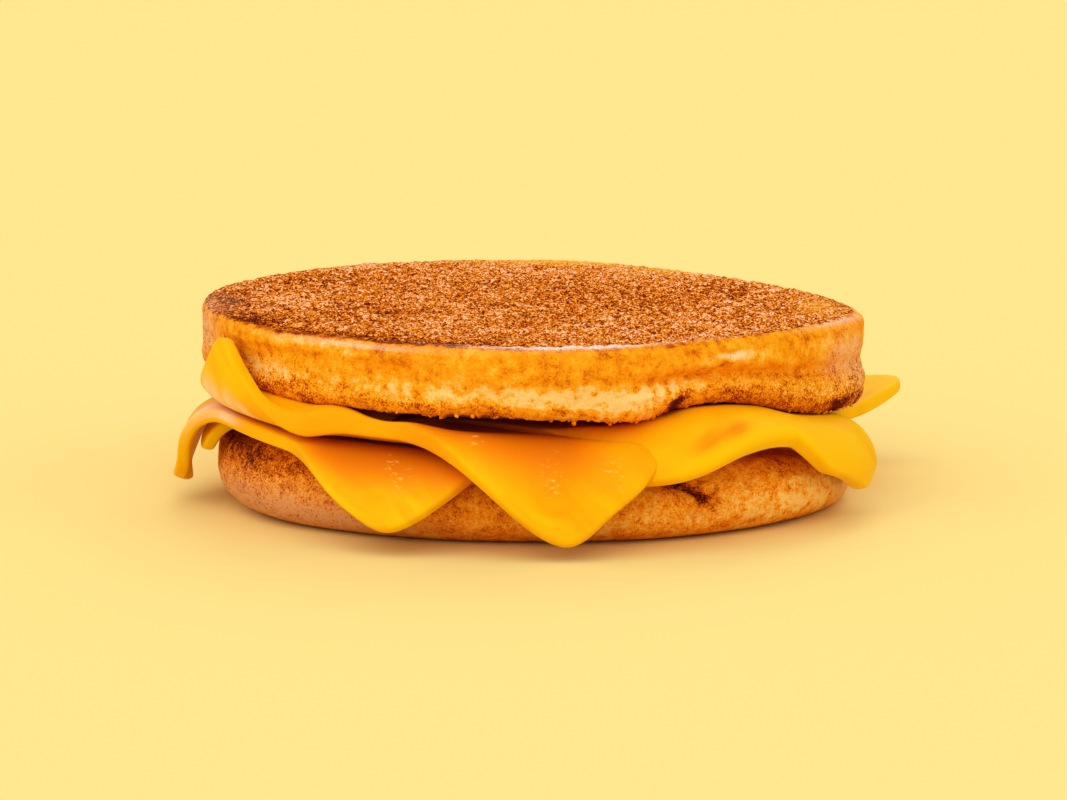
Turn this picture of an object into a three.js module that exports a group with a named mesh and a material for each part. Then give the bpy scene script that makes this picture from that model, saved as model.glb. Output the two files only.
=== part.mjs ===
// Grilled cheese sandwich: two pan-toasted slices of white bread with four
// square slices of melted cheese between them, their corners hanging out.
//
// Millimetres and degrees, +Z up. The origin is the middle of the flat
// underside. -Y is the front, +X is the right-hand end. Places round the
// sandwich are given as a bearing: 0 is right, -90 is front, 180 is left.

import * as THREE from 'three';

// ---------------------------------------------------------------- sizes

// A bulge pushes an outline out (or in, if negative) round one bearing.
const LOWER_SLICE = {
  halfWidth: 59.6,
  halfDepth: 56.2,
  squareness: 2.2,
  bulges: [
    { at: -147, out: 1.5, spread: 16 },
    { at: -30, out: 1.0, spread: 20 },
    { at: 35, out: -3.5, spread: 38 },
  ],
  thickness: 14,
  waistHeight: 6.8,
  footRound: 9,
  footRoundRight: 3.5,
  shoulderRound: 5,
  pressedFrom: 20,
  pressed: [
    { at: -8, in: 3.0, spread: 34 },
    { at: -82, in: 1.1, spread: 18 },
    { at: -152, in: -1.5, spread: 26 },
  ],
};

const UPPER_SLICE = {
  halfWidth: 60.3,
  halfDepth: 57,
  squareness: 1.8,
  bulges: [
    { at: -147, out: 4.0, spread: 16 },
    { at: -116, out: 3.7, spread: 30 },
    { at: 35, out: -4.8, spread: 38 },
    { at: -13, out: 2.8, spread: 11 },
    { at: 137, out: 2.0, spread: 30 },
    { at: 180, out: 1.8, spread: 22 },
  ],
  topHeight: 36,
  tilt: -0.0155,
  rimRound: 2.6,
  rimDrop: 2.2,
  lowerRound: 2.4,
  lowerRise: 2.5,
  seatWidth: 14,
  seatBlend: 0.6,
};

// Height of the upper slice's lower edge, and where it rises or sags.
const LOWER_EDGE = {
  height: 22.9,
  raisedFront: { from: -60, to: -46, fade: 12, rise: 1.0 },
  dipFront: { at: -77, spread: 8, rise: -1.1 },
  sagRight: { from: -8, to: 18, fade: 50, rise: -6.6 },
  sagBack: { from: 85, to: 150, fade: 42, rise: -4.2 },
};

const CHEESE = {
  thickness: 1.45,
  gap: 0.5,
  edgeRound: 1.3,
  cornerPower: 14,
  settle: 24,
  squeezedFrom: 2,
  squeezedTo: 9,
};

// The four cheese slices, from the bottom up. Each is a square of a and b
// from -1 to 1: a grows towards the bearing called facing and b towards the
// left of it. corner is where its corner a = 1, b = cornerSide lies flat. A
// pull moves the cheese round one place by [towards a, towards b]. A drop
// bends it down between two bearings, from start millimetres past the bread's
// shoulder on and over a length; a curl bends it up. Where it is squeezed out
// it fills a share of the room below the upper slice.
const SHEETS = [
  {
    name: 'cheese_back',
    colour: 0xffb820,
    corner: [70.5, 24],
    cornerSide: 1,
    facing: -26,
    side: 92,
    looseThickness: 2.4,
    pulls: [
      { at: [1, -1], by: [-9, 9], spread: 0.6 },
      { at: [1, 0], by: [-6, 0], spread: 0.45 },
      { at: [1, 1], by: [2.5, 2.5], spread: 0.5 },
      { at: [0.5, 1], by: [0, -5], spread: 0.35 },
      { at: [-1, -1], by: [-10, -7.5], spread: 0.4 },
    ],
    drops: [
      { angle: 35, from: 88, to: 112, fade: 14, start: 0, length: 12 },
      { angle: 76, from: -186, to: -150, fade: 14, start: 0, length: 8 },
    ],
    curls: [{ angle: 8, from: 7, to: 31, fade: 14, inset: 0, length: 9 }],
    squeezed: [],
  },
  {
    name: 'cheese_left',
    colour: 0xf79a08,
    corner: [-78, -0.5],
    cornerSide: -1,
    facing: -145,
    side: 84,
    looseThickness: 2.4,
    pulls: [
      { at: [1, -1], by: [3, 10], spread: 0.5 },
      { at: [1, 1], by: [-2.9, 0.6], spread: 0.5 },
      { at: [1, 0.5], by: [-1, 0], spread: 0.3 },
      { at: [0.55, 1], by: [0, 2.5], spread: 0.4 },
    ],
    drops: [
      { angle: 60, from: -120, to: -84, fade: 14, start: 0, length: 12.5 },
      { angle: 67, from: 174, to: 194, fade: 14, start: 1, length: 8 },
    ],
    curls: [],
    squeezed: [],
  },
  {
    name: 'cheese_front',
    colour: 0xffa812,
    corner: [8, -76],
    cornerSide: 1,
    facing: -121,
    side: 84,
    looseThickness: 2.4,
    pulls: [
      { at: [1, -1], by: [12, -1], spread: 0.55 },
      { at: [1, -0.7], by: [-2, 0], spread: 0.25 },
      { at: [1, 1], by: [-2.3, -2.3], spread: 0.5 },
      { at: [0.4, 1], by: [0, 1.5], spread: 0.3 },
    ],
    drops: [{ angle: 60, from: -88, to: -72, fade: 22, start: 0, length: 12 }],
    curls: [{ angle: 94, from: -168, to: -142, fade: 20, inset: 4, length: 12 }],
    squeezed: [{ from: -108, to: -90, fade: 12, share: 0.45 }],
  },
  {
    name: 'cheese_right',
    colour: 0xffb000,
    corner: [60.1, -30.6],
    cornerSide: 1,
    facing: -53,
    side: 90,
    looseThickness: 2.9,
    pulls: [
      { at: [1, -1], by: [-32, 22], spread: 0.6 },
      { at: [0, -1], by: [0, 12], spread: 0.6 },
      { at: [1, -0.1], by: [1.2, 0], spread: 0.35 },
      { at: [1, 1], by: [-1.4, 6], spread: 0.3 },
      { at: [0.4, 1], by: [0, 5], spread: 0.3 },
      { at: [-1, -1], by: [8, 8], spread: 0.6 },
    ],
    drops: [
      { angle: 80, from: -38, to: -16, fade: 13, start: 0, length: 6 },
      { angle: 62, from: -62, to: -46, fade: 13, start: 0, length: 9 },
    ],
    curls: [],
    squeezed: [{ from: -76, to: -20, fade: 12, share: 0.8 }],
  },
];

// How finely the faces are cut.
const AROUND = 88;
const SHEET_LINES = [0, 0.8, 2.4, 5.5, 9, 13, 17.3, 22, 28, 36];
const BEND_STEPS = 24;

// ---------------------------------------------------------- small sums

const RAD = Math.PI / 180;
const cosd = (angle) => Math.cos(angle * RAD);
const sind = (angle) => Math.sin(angle * RAD);

// 0 up to t = 0, 1 from t = 1, with a smooth step between.
const ease = (t) => THREE.MathUtils.smoothstep(t, 0, 1);

// The signed turn from one bearing to another, from -180 to 180.
function turn(bearing, from) {
  return THREE.MathUtils.euclideanModulo(bearing - from + 180, 360) - 180;
}

// A round hill: 1 at its middle, fading both ways.
const hill = (distance, spread) => Math.exp(-((distance / spread) ** 2));

// 1 between two bearings, fading to 0 over fade degrees past each.
function stretch(bearing, { from, to, fade }) {
  const middle = (from + to) / 2;
  const past = Math.abs(turn(bearing, middle)) - (to - from) / 2;
  return 1 - ease(past / fade);
}

function polar(x, y) {
  return { radius: Math.hypot(x, y), bearing: Math.atan2(y, x) / RAD };
}

// ------------------------------------------------------------- outlines

// A rounded square with bulges: the slice's radius at a bearing.
function outline(slice, bearing) {
  const across = Math.abs(cosd(bearing)) / slice.halfWidth;
  const along = Math.abs(sind(bearing)) / slice.halfDepth;
  const power = slice.squareness;
  let radius = (across ** power + along ** power) ** (-1 / power);
  for (const bulge of slice.bulges) {
    radius += bulge.out * hill(turn(bearing, bulge.at), bulge.spread);
  }
  return radius;
}

// Height of the lower slice's upper face, pressed down here and there.
function lowerFace(radius, bearing) {
  const outer = ease((radius - LOWER_SLICE.pressedFrom) / 32);
  let height = LOWER_SLICE.thickness;
  for (const press of LOWER_SLICE.pressed) {
    height -= press.in * hill(turn(bearing, press.at), press.spread) * outer;
  }
  return height;
}

// The radius at which the lower slice's upper face starts to round off.
function shoulderRadius(bearing) {
  return outline(LOWER_SLICE, bearing) - LOWER_SLICE.shoulderRound;
}

// --------------------------------------------------------------- cheese

function sheetCentre(sheet) {
  const diagonal = sheet.facing + 45 * sheet.cornerSide;
  const half = sheet.side / Math.SQRT2;
  const [x, y] = sheet.corner;
  return [x - half * cosd(diagonal), y - half * sind(diagonal)];
}

// 1 over a slice that lies flat, settling to 0 beyond its edge.
function cover(sheet, x, y) {
  const [cx, cy] = sheetCentre(sheet);
  const u = (x - cx) * cosd(sheet.facing) + (y - cy) * sind(sheet.facing);
  const v = (y - cy) * cosd(sheet.facing) - (x - cx) * sind(sheet.facing);
  const outU = Math.max(Math.abs(u) - sheet.side / 2, 0);
  const outV = Math.max(Math.abs(v) - sheet.side / 2, 0);
  return 1 - ease(Math.hypot(outU, outV) / CHEESE.settle);
}

// Cheese is pressed thin between the slices and thicker where it hangs free.
function sheetThickness(sheet, x, y) {
  const { radius, bearing } = polar(x, y);
  const free = ease((radius - outline(LOWER_SLICE, bearing) + 6) / 8);
  return THREE.MathUtils.lerp(CHEESE.thickness, sheet.looseThickness, free);
}

// How high the underside of slice number index lies over the bread.
function stackHeight(index, x, y) {
  let height = CHEESE.gap;
  for (const sheet of SHEETS.slice(0, index)) {
    height += (sheetThickness(sheet, x, y) + CHEESE.gap) * cover(sheet, x, y);
  }
  return height;
}

// How much thicker a slice is where it is squeezed out below the upper slice.
function squeezedBy(sheet, x, y) {
  const { radius, bearing } = polar(x, y);
  let share = 0;
  for (const part of sheet.squeezed) share += part.share * stretch(bearing, part);
  if (share === 0) return 0;
  const end = outline(UPPER_SLICE, bearing) - CHEESE.squeezedFrom;
  const at = Math.min(radius, end);
  const top = lowerFace(at, bearing) + stackHeight(SHEETS.length, at * cosd(bearing), at * sind(bearing));
  const room = upperUnderside(at, bearing) - top;
  return share * Math.max(room, 0) * (1 - ease((radius - end) / CHEESE.squeezedTo));
}

// How steeply a slice slopes, arc millimetres past the shoulder.
function slopes(sheet, bearing, arc) {
  let down = 0;
  for (const drop of sheet.drops) {
    const bent = ease((arc - drop.start) / drop.length);
    down = Math.max(down, drop.angle * stretch(bearing, drop) * bent);
  }
  let up = 0;
  for (const curl of sheet.curls) {
    const start = outline(UPPER_SLICE, bearing) - curl.inset - shoulderRadius(bearing);
    const bent = ease((arc - start) / curl.length);
    up = Math.max(up, curl.angle * stretch(bearing, curl) * bent);
  }
  return { down, total: down - up };
}

// Lays a flat point of a slice over the bread's rim. The path runs level to
// the shoulder and then follows the slopes; the stack below lifts it off.
function drape(sheet, x, y, lift, offset) {
  const { radius, bearing } = polar(x, y);
  const shoulder = shoulderRadius(bearing);
  const arc = Math.max(radius - shoulder, 0);
  let out = Math.min(radius, shoulder);
  let height = lowerFace(out, bearing);
  for (let step = 0; step < BEND_STEPS; step += 1) {
    const slope = slopes(sheet, bearing, (arc * (step + 0.5)) / BEND_STEPS).total;
    out += (cosd(slope) * arc) / BEND_STEPS;
    height -= (sind(slope) * arc) / BEND_STEPS;
  }
  const end = slopes(sheet, bearing, arc);
  out += lift * sind(end.down) + offset * sind(end.total);
  height += lift * cosd(end.down) + offset * cosd(end.total);
  return [out * cosd(bearing), out * sind(bearing), height];
}

// A flat point of a slice: a square with soft corners, pulled out of true.
function flatPoint(sheet, a, b) {
  const power = CHEESE.cornerPower;
  const rim = Math.max(Math.abs(a), Math.abs(b));
  const round = (Math.abs(a) ** power + Math.abs(b) ** power) ** (1 / power);
  const half = (sheet.side / 2) * (round > 0 ? rim / round : 0);
  let u = a * half;
  let v = b * half;
  for (const pull of sheet.pulls) {
    const share = hill(Math.hypot(a - pull.at[0], b - pull.at[1]), pull.spread);
    u += pull.by[0] * share;
    v += pull.by[1] * share;
  }
  const [cx, cy] = sheetCentre(sheet);
  return [
    cx + u * cosd(sheet.facing) - v * sind(sheet.facing),
    cy + u * sind(sheet.facing) + v * cosd(sheet.facing),
  ];
}

// Half the thickness falls away as a quarter ellipse towards the edge.
function edgeShare(distance) {
  const t = Math.min(distance / CHEESE.edgeRound, 1);
  return Math.sqrt(1 - (1 - t) ** 2);
}

function sheetGeometry(sheet, index) {
  const half = sheet.side / 2;
  const inner = SHEET_LINES.map((line) => (half - line) / half);
  const lines = [...inner.map((line) => -line), 0, ...inner.reverse()];
  const count = lines.length;
  const points = [];
  const onRim = (i, j) => i === 0 || j === 0 || i === count - 1 || j === count - 1;
  const vertex = { 1: [], [-1]: [] };
  for (const face of [1, -1]) {
    for (let i = 0; i < count; i += 1) {
      for (let j = 0; j < count; j += 1) {
        if (face < 0 && onRim(i, j)) {
          vertex[face].push(vertex[1][i * count + j]);
          continue;
        }
        const [x, y] = flatPoint(sheet, lines[i], lines[j]);
        const thickness = sheetThickness(sheet, x, y) + squeezedBy(sheet, x, y);
        const rim = half * (1 - Math.max(Math.abs(lines[i]), Math.abs(lines[j])));
        const lift = stackHeight(index, x, y) + thickness / 2;
        const offset = (face * thickness * edgeShare(rim)) / 2;
        vertex[face].push(points.length / 3);
        points.push(...drape(sheet, x, y, lift, offset));
      }
    }
  }
  const isEnd = (cell) => cell === 0 || cell === count - 2;
  const triangles = [];
  for (let i = 0; i < count - 1; i += 1) {
    for (let j = 0; j < count - 1; j += 1) {
      const corners = [i * count + j, (i + 1) * count + j];
      corners.push((i + 1) * count + j + 1, i * count + j + 1);
      const [p, q, r, s] = corners.map((corner) => vertex[1][corner]);
      const [t, u, v, w] = corners.map((corner) => vertex[-1][corner]);
      const quadrant = (i < count / 2 - 1) === (j < count / 2 - 1);
      const alongFold = quadrant !== (isEnd(i) && isEnd(j));
      triangles.push(...(alongFold ? [p, q, s, q, r, s] : [p, q, r, p, r, s]));
      triangles.push(...(alongFold ? [t, w, u, u, w, v] : [t, v, u, t, w, v]));
    }
  }
  return meshGeometry(points, triangles);
}

// ---------------------------------------------------------------- bread

// Uneven surface of the upper slice's side. share is 0 at its lower edge and
// 1 at its upper rim; the result is how far the crust stands out.
function upperSideRelief(bearing, share) {
  const belly = 0.7 * stretch(bearing, { from: -95, to: -45, fade: 22 });
  const torn = stretch(bearing, { from: -66, to: -14, fade: 10 });
  const lip = 0.6 * stretch(bearing, { from: -146, to: -112, fade: 8 });
  const blister = 1.2 * hill(turn(bearing, -53), 4);
  const waves = 0.35 * sind(3 * bearing + 20) + 0.25 * sind(8 * bearing);
  return (
    belly * hill(share - 0.72, 0.25)
    - 1.3 * torn * hill(share - 0.5, 0.12)
    + 0.5 * torn * hill(share - 0.22, 0.16)
    + lip * hill(share - 0.92, 0.1)
    + blister * hill(share - 0.84, 0.14)
    + waves * hill(share - 0.45, 0.4)
  );
}

// Crumbs and flakes along the upper slice's torn lower edge.
function ragged(bearing) {
  const torn = stretch(bearing, { from: -112, to: -66, fade: 10 });
  return 0.35 * sind(11 * bearing) * sind(5 * bearing) - 0.5 * torn * Math.abs(sind(22 * bearing));
}

// Creases and hollows in the lower slice's side at a height.
function lowerSideRelief(bearing, height) {
  const bent = -60 - 9 * ease((height - 7) / 6);
  const crease = 1.5 * hill(turn(bearing, bent), 3) * ease((height - 2) / 3);
  const notch = 0.8 * hill(turn(bearing, -51), 3) * ease((height - 9) / 3);
  const waves = 0.4 * sind(4 * bearing + 50) + 0.25 * sind(9 * bearing + 10);
  return waves * hill(height - 7, 6) - crease - notch;
}

// Height of the upper slice's underside: on the cheese, then the lower edge.
function upperUnderside(radius, bearing) {
  const x = radius * cosd(bearing);
  const y = radius * sind(bearing);
  const onCheese = lowerFace(radius, bearing) + stackHeight(SHEETS.length, x, y);
  const { raisedFront, dipFront, sagRight, sagBack, height } = LOWER_EDGE;
  let edge = height + dipFront.rise * hill(turn(bearing, dipFront.at), dipFront.spread);
  for (const part of [raisedFront, sagRight, sagBack]) {
    edge += part.rise * stretch(bearing, part);
  }
  const start = outline(UPPER_SLICE, bearing) - UPPER_SLICE.seatWidth;
  const seat = THREE.MathUtils.lerp(onCheese, edge, ease((radius - start) / 12));
  return (onCheese + seat + Math.hypot(onCheese - seat, UPPER_SLICE.seatBlend)) / 2;
}

// Height of the upper slice's toasted face, a little higher at the left.
function toastFace(radius, bearing) {
  return UPPER_SLICE.topHeight + UPPER_SLICE.tilt * radius * cosd(bearing);
}

// Each row gives, for a bearing, a ring's radius and height, from the middle
// of the underside out and up to the middle of the upper face.
function lowerRows() {
  const size = LOWER_SLICE;
  const edge = (bearing) => outline(size, bearing);
  const foot = (bearing) => {
    const right = stretch(bearing, { from: -8, to: 20, fade: 30 });
    return THREE.MathUtils.lerp(size.footRound, size.footRoundRight, right);
  };
  const rows = [0.5, 1].map((share) => (bearing) => (
    [(edge(bearing) - foot(bearing)) * share, 0]
  ));
  for (const angle of [22, 42, 62, 80]) {
    rows.push((bearing) => {
      const height = size.waistHeight * (1 - cosd(angle));
      const out = edge(bearing) - foot(bearing) * (1 - sind(angle));
      return [out + lowerSideRelief(bearing, height), height];
    });
  }
  for (const angle of [8, 28, 48, 68, 90]) {
    rows.push((bearing) => {
      const inner = shoulderRadius(bearing);
      const face = lowerFace(inner, bearing);
      const height = size.waistHeight + (face - size.waistHeight) * sind(angle);
      const relief = lowerSideRelief(bearing, height) * cosd(angle);
      return [inner + size.shoulderRound * cosd(angle) + relief, height];
    });
  }
  for (const share of [0.78, 0.55, 0.28]) {
    rows.push((bearing) => {
      const out = shoulderRadius(bearing) * share;
      return [out, lowerFace(out, bearing)];
    });
  }
  return rows;
}

function upperRows() {
  const size = UPPER_SLICE;
  const edge = (bearing) => outline(size, bearing);
  const rows = [0.14, 0.28, 0.42, 0.55, 0.68, 0.8, 0.9, 1].map((share) => (bearing) => {
    const out = (edge(bearing) - size.lowerRound) * share;
    return [out, upperUnderside(out, bearing) + ragged(bearing) * ease((share - 0.8) / 0.2)];
  });
  const lowest = (bearing) => (
    upperUnderside(edge(bearing) - size.lowerRound, bearing) + ragged(bearing)
  );
  rows.push((bearing) => {
    const out = edge(bearing) - size.lowerRound * (1 - sind(50));
    return [out + upperSideRelief(bearing, 0), lowest(bearing) + size.lowerRise * (1 - cosd(50))];
  });
  for (const share of [0.14, 0.32, 0.5, 0.68, 0.86]) {
    rows.push((bearing) => {
      const top = toastFace(edge(bearing), bearing) - size.rimDrop;
      const bottom = lowest(bearing) + size.lowerRise * 0.6;
      const height = THREE.MathUtils.lerp(bottom, top, share);
      return [edge(bearing) + upperSideRelief(bearing, share), height];
    });
  }
  for (const angle of [20, 50, 90]) {
    rows.push((bearing) => {
      const out = edge(bearing) - size.rimRound * (1 - cosd(angle));
      const relief = upperSideRelief(bearing, 0.95) * cosd(angle);
      const height = toastFace(out, bearing) - size.rimDrop * (1 - sind(angle));
      return [out + relief, height];
    });
  }
  for (const share of [0.7, 0.35]) {
    rows.push((bearing) => {
      const out = (edge(bearing) - size.rimRound) * share;
      return [out, toastFace(out, bearing)];
    });
  }
  return rows;
}

// Turns rows of rings into a closed body with a pole at each end.
function ringGeometry(rows, bottomHeight, topHeight) {
  const points = [];
  for (const row of rows) {
    for (let k = 0; k < AROUND; k += 1) {
      const bearing = (360 * k) / AROUND - 180;
      const [radius, height] = row(bearing);
      points.push(radius * cosd(bearing), radius * sind(bearing), height);
    }
  }
  const bottomPole = points.length / 3;
  points.push(0, 0, bottomHeight, 0, 0, topHeight);
  const topPole = bottomPole + 1;
  const lastRing = (rows.length - 1) * AROUND;
  const triangles = [];
  for (let k = 0; k < AROUND; k += 1) {
    const next = (k + 1) % AROUND;
    triangles.push(bottomPole, next, k, topPole, lastRing + k, lastRing + next);
    for (let ring = 0; ring < lastRing; ring += AROUND) {
      const [p, q] = [ring + k, ring + next];
      triangles.push(p, q, q + AROUND, p, q + AROUND, p + AROUND);
    }
  }
  return meshGeometry(points, triangles);
}

// ------------------------------------------------------------- assembly

function meshGeometry(points, triangles) {
  const geometry = new THREE.BufferGeometry();
  geometry.setAttribute('position', new THREE.Float32BufferAttribute(points, 3));
  geometry.setIndex(triangles);
  geometry.computeVertexNormals();
  return geometry;
}

function addPiece(group, name, geometry, colour, roughness) {
  const material = new THREE.MeshStandardMaterial({ color: colour, roughness, metalness: 0 });
  const mesh = new THREE.Mesh(geometry, material);
  mesh.name = name;
  group.add(mesh);
}

const sandwich = new THREE.Group();
const lowerMiddle = lowerFace(0, 0);
const upperMiddle = upperUnderside(0, 0);
addPiece(sandwich, 'bread_lower', ringGeometry(lowerRows(), 0, lowerMiddle), 0xb5672a, 0.75);
SHEETS.forEach((sheet, index) => {
  addPiece(sandwich, sheet.name, sheetGeometry(sheet, index), sheet.colour, 0.35);
});
addPiece(sandwich, 'bread_upper', ringGeometry(upperRows(), upperMiddle, toastFace(0, 0)), 0xc9752c, 0.7);

export default sandwich;
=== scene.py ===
"""Grilled cheese sandwich: two slices of pan-toasted bread with four slices of melted cheese between them.

Shapes are worked out in millimetres and degrees and put into the meshes in metres, +Z up. A bearing is a
place round the sandwich: 0 is the right-hand end, -90 the front, 180 the left-hand end, 90 the back.
"""

import math

import bpy
import numpy as np
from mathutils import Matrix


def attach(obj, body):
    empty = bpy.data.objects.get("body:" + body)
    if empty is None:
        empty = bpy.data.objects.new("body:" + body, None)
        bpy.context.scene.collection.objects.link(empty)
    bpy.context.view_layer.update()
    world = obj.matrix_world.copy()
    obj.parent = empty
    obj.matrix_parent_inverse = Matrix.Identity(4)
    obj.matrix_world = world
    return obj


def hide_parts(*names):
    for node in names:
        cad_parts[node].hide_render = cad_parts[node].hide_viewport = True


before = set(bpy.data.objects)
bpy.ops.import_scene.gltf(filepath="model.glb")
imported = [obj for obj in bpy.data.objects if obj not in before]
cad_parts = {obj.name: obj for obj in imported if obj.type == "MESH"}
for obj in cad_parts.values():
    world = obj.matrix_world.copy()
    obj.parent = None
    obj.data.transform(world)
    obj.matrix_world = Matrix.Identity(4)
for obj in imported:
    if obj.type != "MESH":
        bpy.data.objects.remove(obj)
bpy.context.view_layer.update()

bl_info = {
    "name": "Grilled Cheese Sandwich",
    "version": (1, 0, 0),
    "blender": (4, 5, 0),
    "location": "3D View > Sidebar > Sandwich",
    "description": "Builds the toasted bread, the melted cheese and a plain studio round them",
    "category": "Add Mesh",
}

MM = 0.001
LOOK_AT = (-0.66, 0.0, 16.545)

# ---- sizes

# Each bulge is (bearing, how far out, spread in degrees).
LOWER = {
    "half_width": 59.6,
    "half_depth": 56.2,
    "squareness": 2.2,
    "bulges": [(-147, 1.5, 16), (-30, 1.0, 20), (35, -3.5, 38)],
}
LOWER_THICKNESS = 14.0
# Where the upper face is pressed down: (bearing, depth, spread).
LOWER_PRESSES = [(-8, 3.0, 34), (-82, 1.1, 18), (-152, -1.5, 26)]
# The presses start to show this far from the middle, and are full this much further out.
PRESS_FROM, PRESS_OVER = 20.0, 32.0
WAIST = 6.8
SHOULDER = 5.0
FOOT_LEFT, FOOT_RIGHT = 9.0, 3.5

UPPER = {
    "half_width": 60.3,
    "half_depth": 57.0,
    "squareness": 1.8,
    "bulges": [(-147, 4.0, 16), (-116, 3.7, 30), (35, -4.8, 38), (-13, 2.8, 11), (137, 2.0, 30), (180, 1.8, 22)],
}
UPPER_TOP = 36.0
UPPER_TILT = -0.0155
RIM_ROUND, RIM_DROP = 2.6, 2.2
LOWER_ROUND, LOWER_RISE = 2.4, 2.5
SEAT_WIDTH, SEAT_OVER, SEAT_BLEND = 14.0, 12.0, 0.6
# How far the body of the upper slice is sunk under its toasted crust, and how deep the crust is closed.
BODY_SUNK, CRUST_DEPTH = 0.8, 3.0
RIM_RINGS = 9
# The hem under the crust's rim: (share of the side's height, how far it stands out, how far it is raised).
HEM = [(0.975, 0.01, 0.0), (0.95, 0.005556, 0.0), (0.925, -0.027431, 0.0), (0.9, -0.05, 0.0), (0.89, -0.9, 0.4)]
# Levels on the crust: its rim runs from 1 to the face's border, and the face on to its middle.
FACE_LEVEL, FACE_CLIMB = 1.2, 2.0

# Height of the upper slice's lower edge, and where it rises or sinks: (from, to, fade, rise).
EDGE_LEVEL = 22.9
EDGE_PARTS = [
    (-146, -116, 14, -0.7), (-104, -76, 9, -0.5), (-60, -46, 12, 0.8), (-8, 18, 50, -6.6), (85, 150, 42, -4.2)
]

# The four cheese slices, from the bottom up. Each is a square of a and b from -1 to 1: a grows towards "facing"
# and b to the left of it. Lengths are in millimetres and angles in degrees. A key that a slice lacks does nothing.
#   corner, corner_side: where its corner a = 1, b = corner_side lies while it is flat
#   side, loose, melted: its side, its thickness where it hangs free, and how much thinner its edge b = -1 is
#   pulls: (a, b, towards a, towards b, spread)
#   drops: (angle, from, to, fade, start, length), bent down past the bread's shoulder
#   curls: (angle, from, to, fade, inset, length), bent up inside the upper slice's rim
#   squeezed: (from, to, fade, share of the room below the upper slice that it fills)
#   tuck, foot: [(a, b, spread, how far)], sunk behind the slice beside it, or swollen
#   deep, reach: (from, to, fade, strength), painted shade where it comes out under the upper slice, and where that
#       fades: (from, to)
#   yellow: (from, to, strength), painted light: yellower and lighter further past the shoulder, where the cheese
#       hangs free
#   sheen, rosy, crease: patches (a, b, spread in a, spread in b, strength), a painted highlight above, a painted
#       highlight below and painted shadow lines
CHEESES = [
    dict(
        name="cheese_back", corner=(70.5, 24), corner_side=1, facing=-26, side=92, loose=2.4,
        pulls=[
            (1, -1, -9, 9, 0.6), (1, 0, -6, 0, 0.45), (1, 1, 2.4, 2.4, 0.5), (1, 1, 0.5, 0.5, 0.14),
            (0.5, 1, 0, -5, 0.35), (-1, -1, -10, -7.5, 0.4),
        ],
        drops=[(35, 88, 112, 14, 0, 12), (76, -186, -150, 14, 0, 8)], curls=[(8, 7, 31, 14, 0, 9)],
        deep=[(-120, -60, 30, 0.6)], reach=(-1.0, 11.0), yellow=(-4.0, 6.0, 1.15),
    ),
    dict(
        name="cheese_left", corner=(-78, -0.5), corner_side=-1, facing=-145, side=84, loose=2.4,
        pulls=[(1, -1, 3, 10, 0.5), (1, 1, -1.9, -0.2, 0.5), (1, 0.5, -1, 0, 0.3), (0.55, 1, 0, 2.5, 0.4)],
        drops=[(60, -120, -84, 14, 0, 12.5), (67, 174, 194, 14, 1, 8)], deep=[(-126, -92, 9, 0.78)],
        reach=(4.5, 13.0), yellow=(1.0, 12.0, 0.8),
        sheen=[(0.94, -0.30, 0.07, 0.13, 1), (0.99, -0.10, 0.05, 0.09, 1)], foot=[(1, -1, 0.075, 1.3)],
    ),
    dict(
        name="cheese_front", corner=(8, -76), corner_side=1, facing=-121, side=84, loose=2.4,
        pulls=[(1, -1, 12, -1, 0.55), (1, -0.7, -2, 0, 0.25), (1, 1, -2.3, -2.3, 0.5), (0.4, 1, 0, 1.5, 0.3)],
        drops=[(60, -88, -72, 22, 0, 12)], curls=[(94, -168, -142, 17, 4, 12), (17, -122, -114, 11, 8, 6)],
        squeezed=[(-150, -128, 14, 1.0), (-110, -88, 12, 0.35)], deep=[(-106, -87, 12, 1.0)], reach=(2.0, 12.0),
        yellow=(3.0, 14.0, 0.7),
        rosy=[
            (0.70, -0.91, 0.05, 0.05, 1), (0.75, -0.83, 0.05, 0.05, 1), (0.81, -0.74, 0.045, 0.05, 1),
            (0.85, -0.64, 0.03, 0.05, 1),
        ],
    ),
    dict(
        name="cheese_right", corner=(60.1, -30.6), corner_side=1, facing=-53, side=90, loose=2.9,
        pulls=[
            (1, -1, -37, 14, 0.6), (0, -1, 0, 12, 0.6), (1, -0.1, 1.2, 0, 0.35), (1, 1, -1.4, 6, 0.3),
            (0.84, 1, 0, -3.2, 0.2), (1, 1, 0.8, 0.6, 0.16), (0.4, 1, 0, 5, 0.3), (-1, -1, 8, 8, 0.6),
        ],
        drops=[(80, -38, -16, 13, 0, 6), (62, -74, -46, 12, 0, 9)], squeezed=[(-76, -14, 12, 1.08)],
        deep=[(-125, -67, 8, 0.85), (-60, -46, 8, 0.3), (-38, -20, 8, 0.16)], reach=(-1.0, 5.0),
        yellow=(-6.0, 3.0, 1.0), tuck=[(1.0, -0.34, 0.32, 5.4)], melted=0.6,
        # Its crease patches are painted shadow lines near its lower edge.
        crease=[(0.955, 0.11, 0.011, 0.085, 0.45), (0.965, 0.25, 0.011, 0.075, 0.45)],
    ),
]
# A slice is thin between the bread, and thickens from a little inside the edge of the bread.
CHEESE_THIN = 1.45
THICKEN_FROM, THICKEN_OVER = 6.0, 8.0
CHEESE_GAP = 0.5
CHEESE_TRIM = 0.6
CHEESE_EDGE = 0.95
CHEESE_EDGE_POWER = 3.2
CHEESE_CORNER_POWER = 14
CHEESE_SETTLE = 24
SQUEEZED_FROM, SQUEEZED_TO = 2.0, 9.0
BEND_STEPS = 40

# ---- small sums


def cosd(angle):
    return np.cos(np.radians(angle))


def sind(angle):
    return np.sin(np.radians(angle))


def ease(t):
    """0 up to t = 0, 1 from t = 1, and a smooth step between."""
    t = np.clip(t, 0.0, 1.0)
    return t * t * (3.0 - 2.0 * t)


def mix(a, b, t):
    return a + (b - a) * t


def turn(bearing, start):
    """The signed turn from one bearing to another, from -180 to 180."""
    return (bearing - start + 180.0) % 360.0 - 180.0


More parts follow.
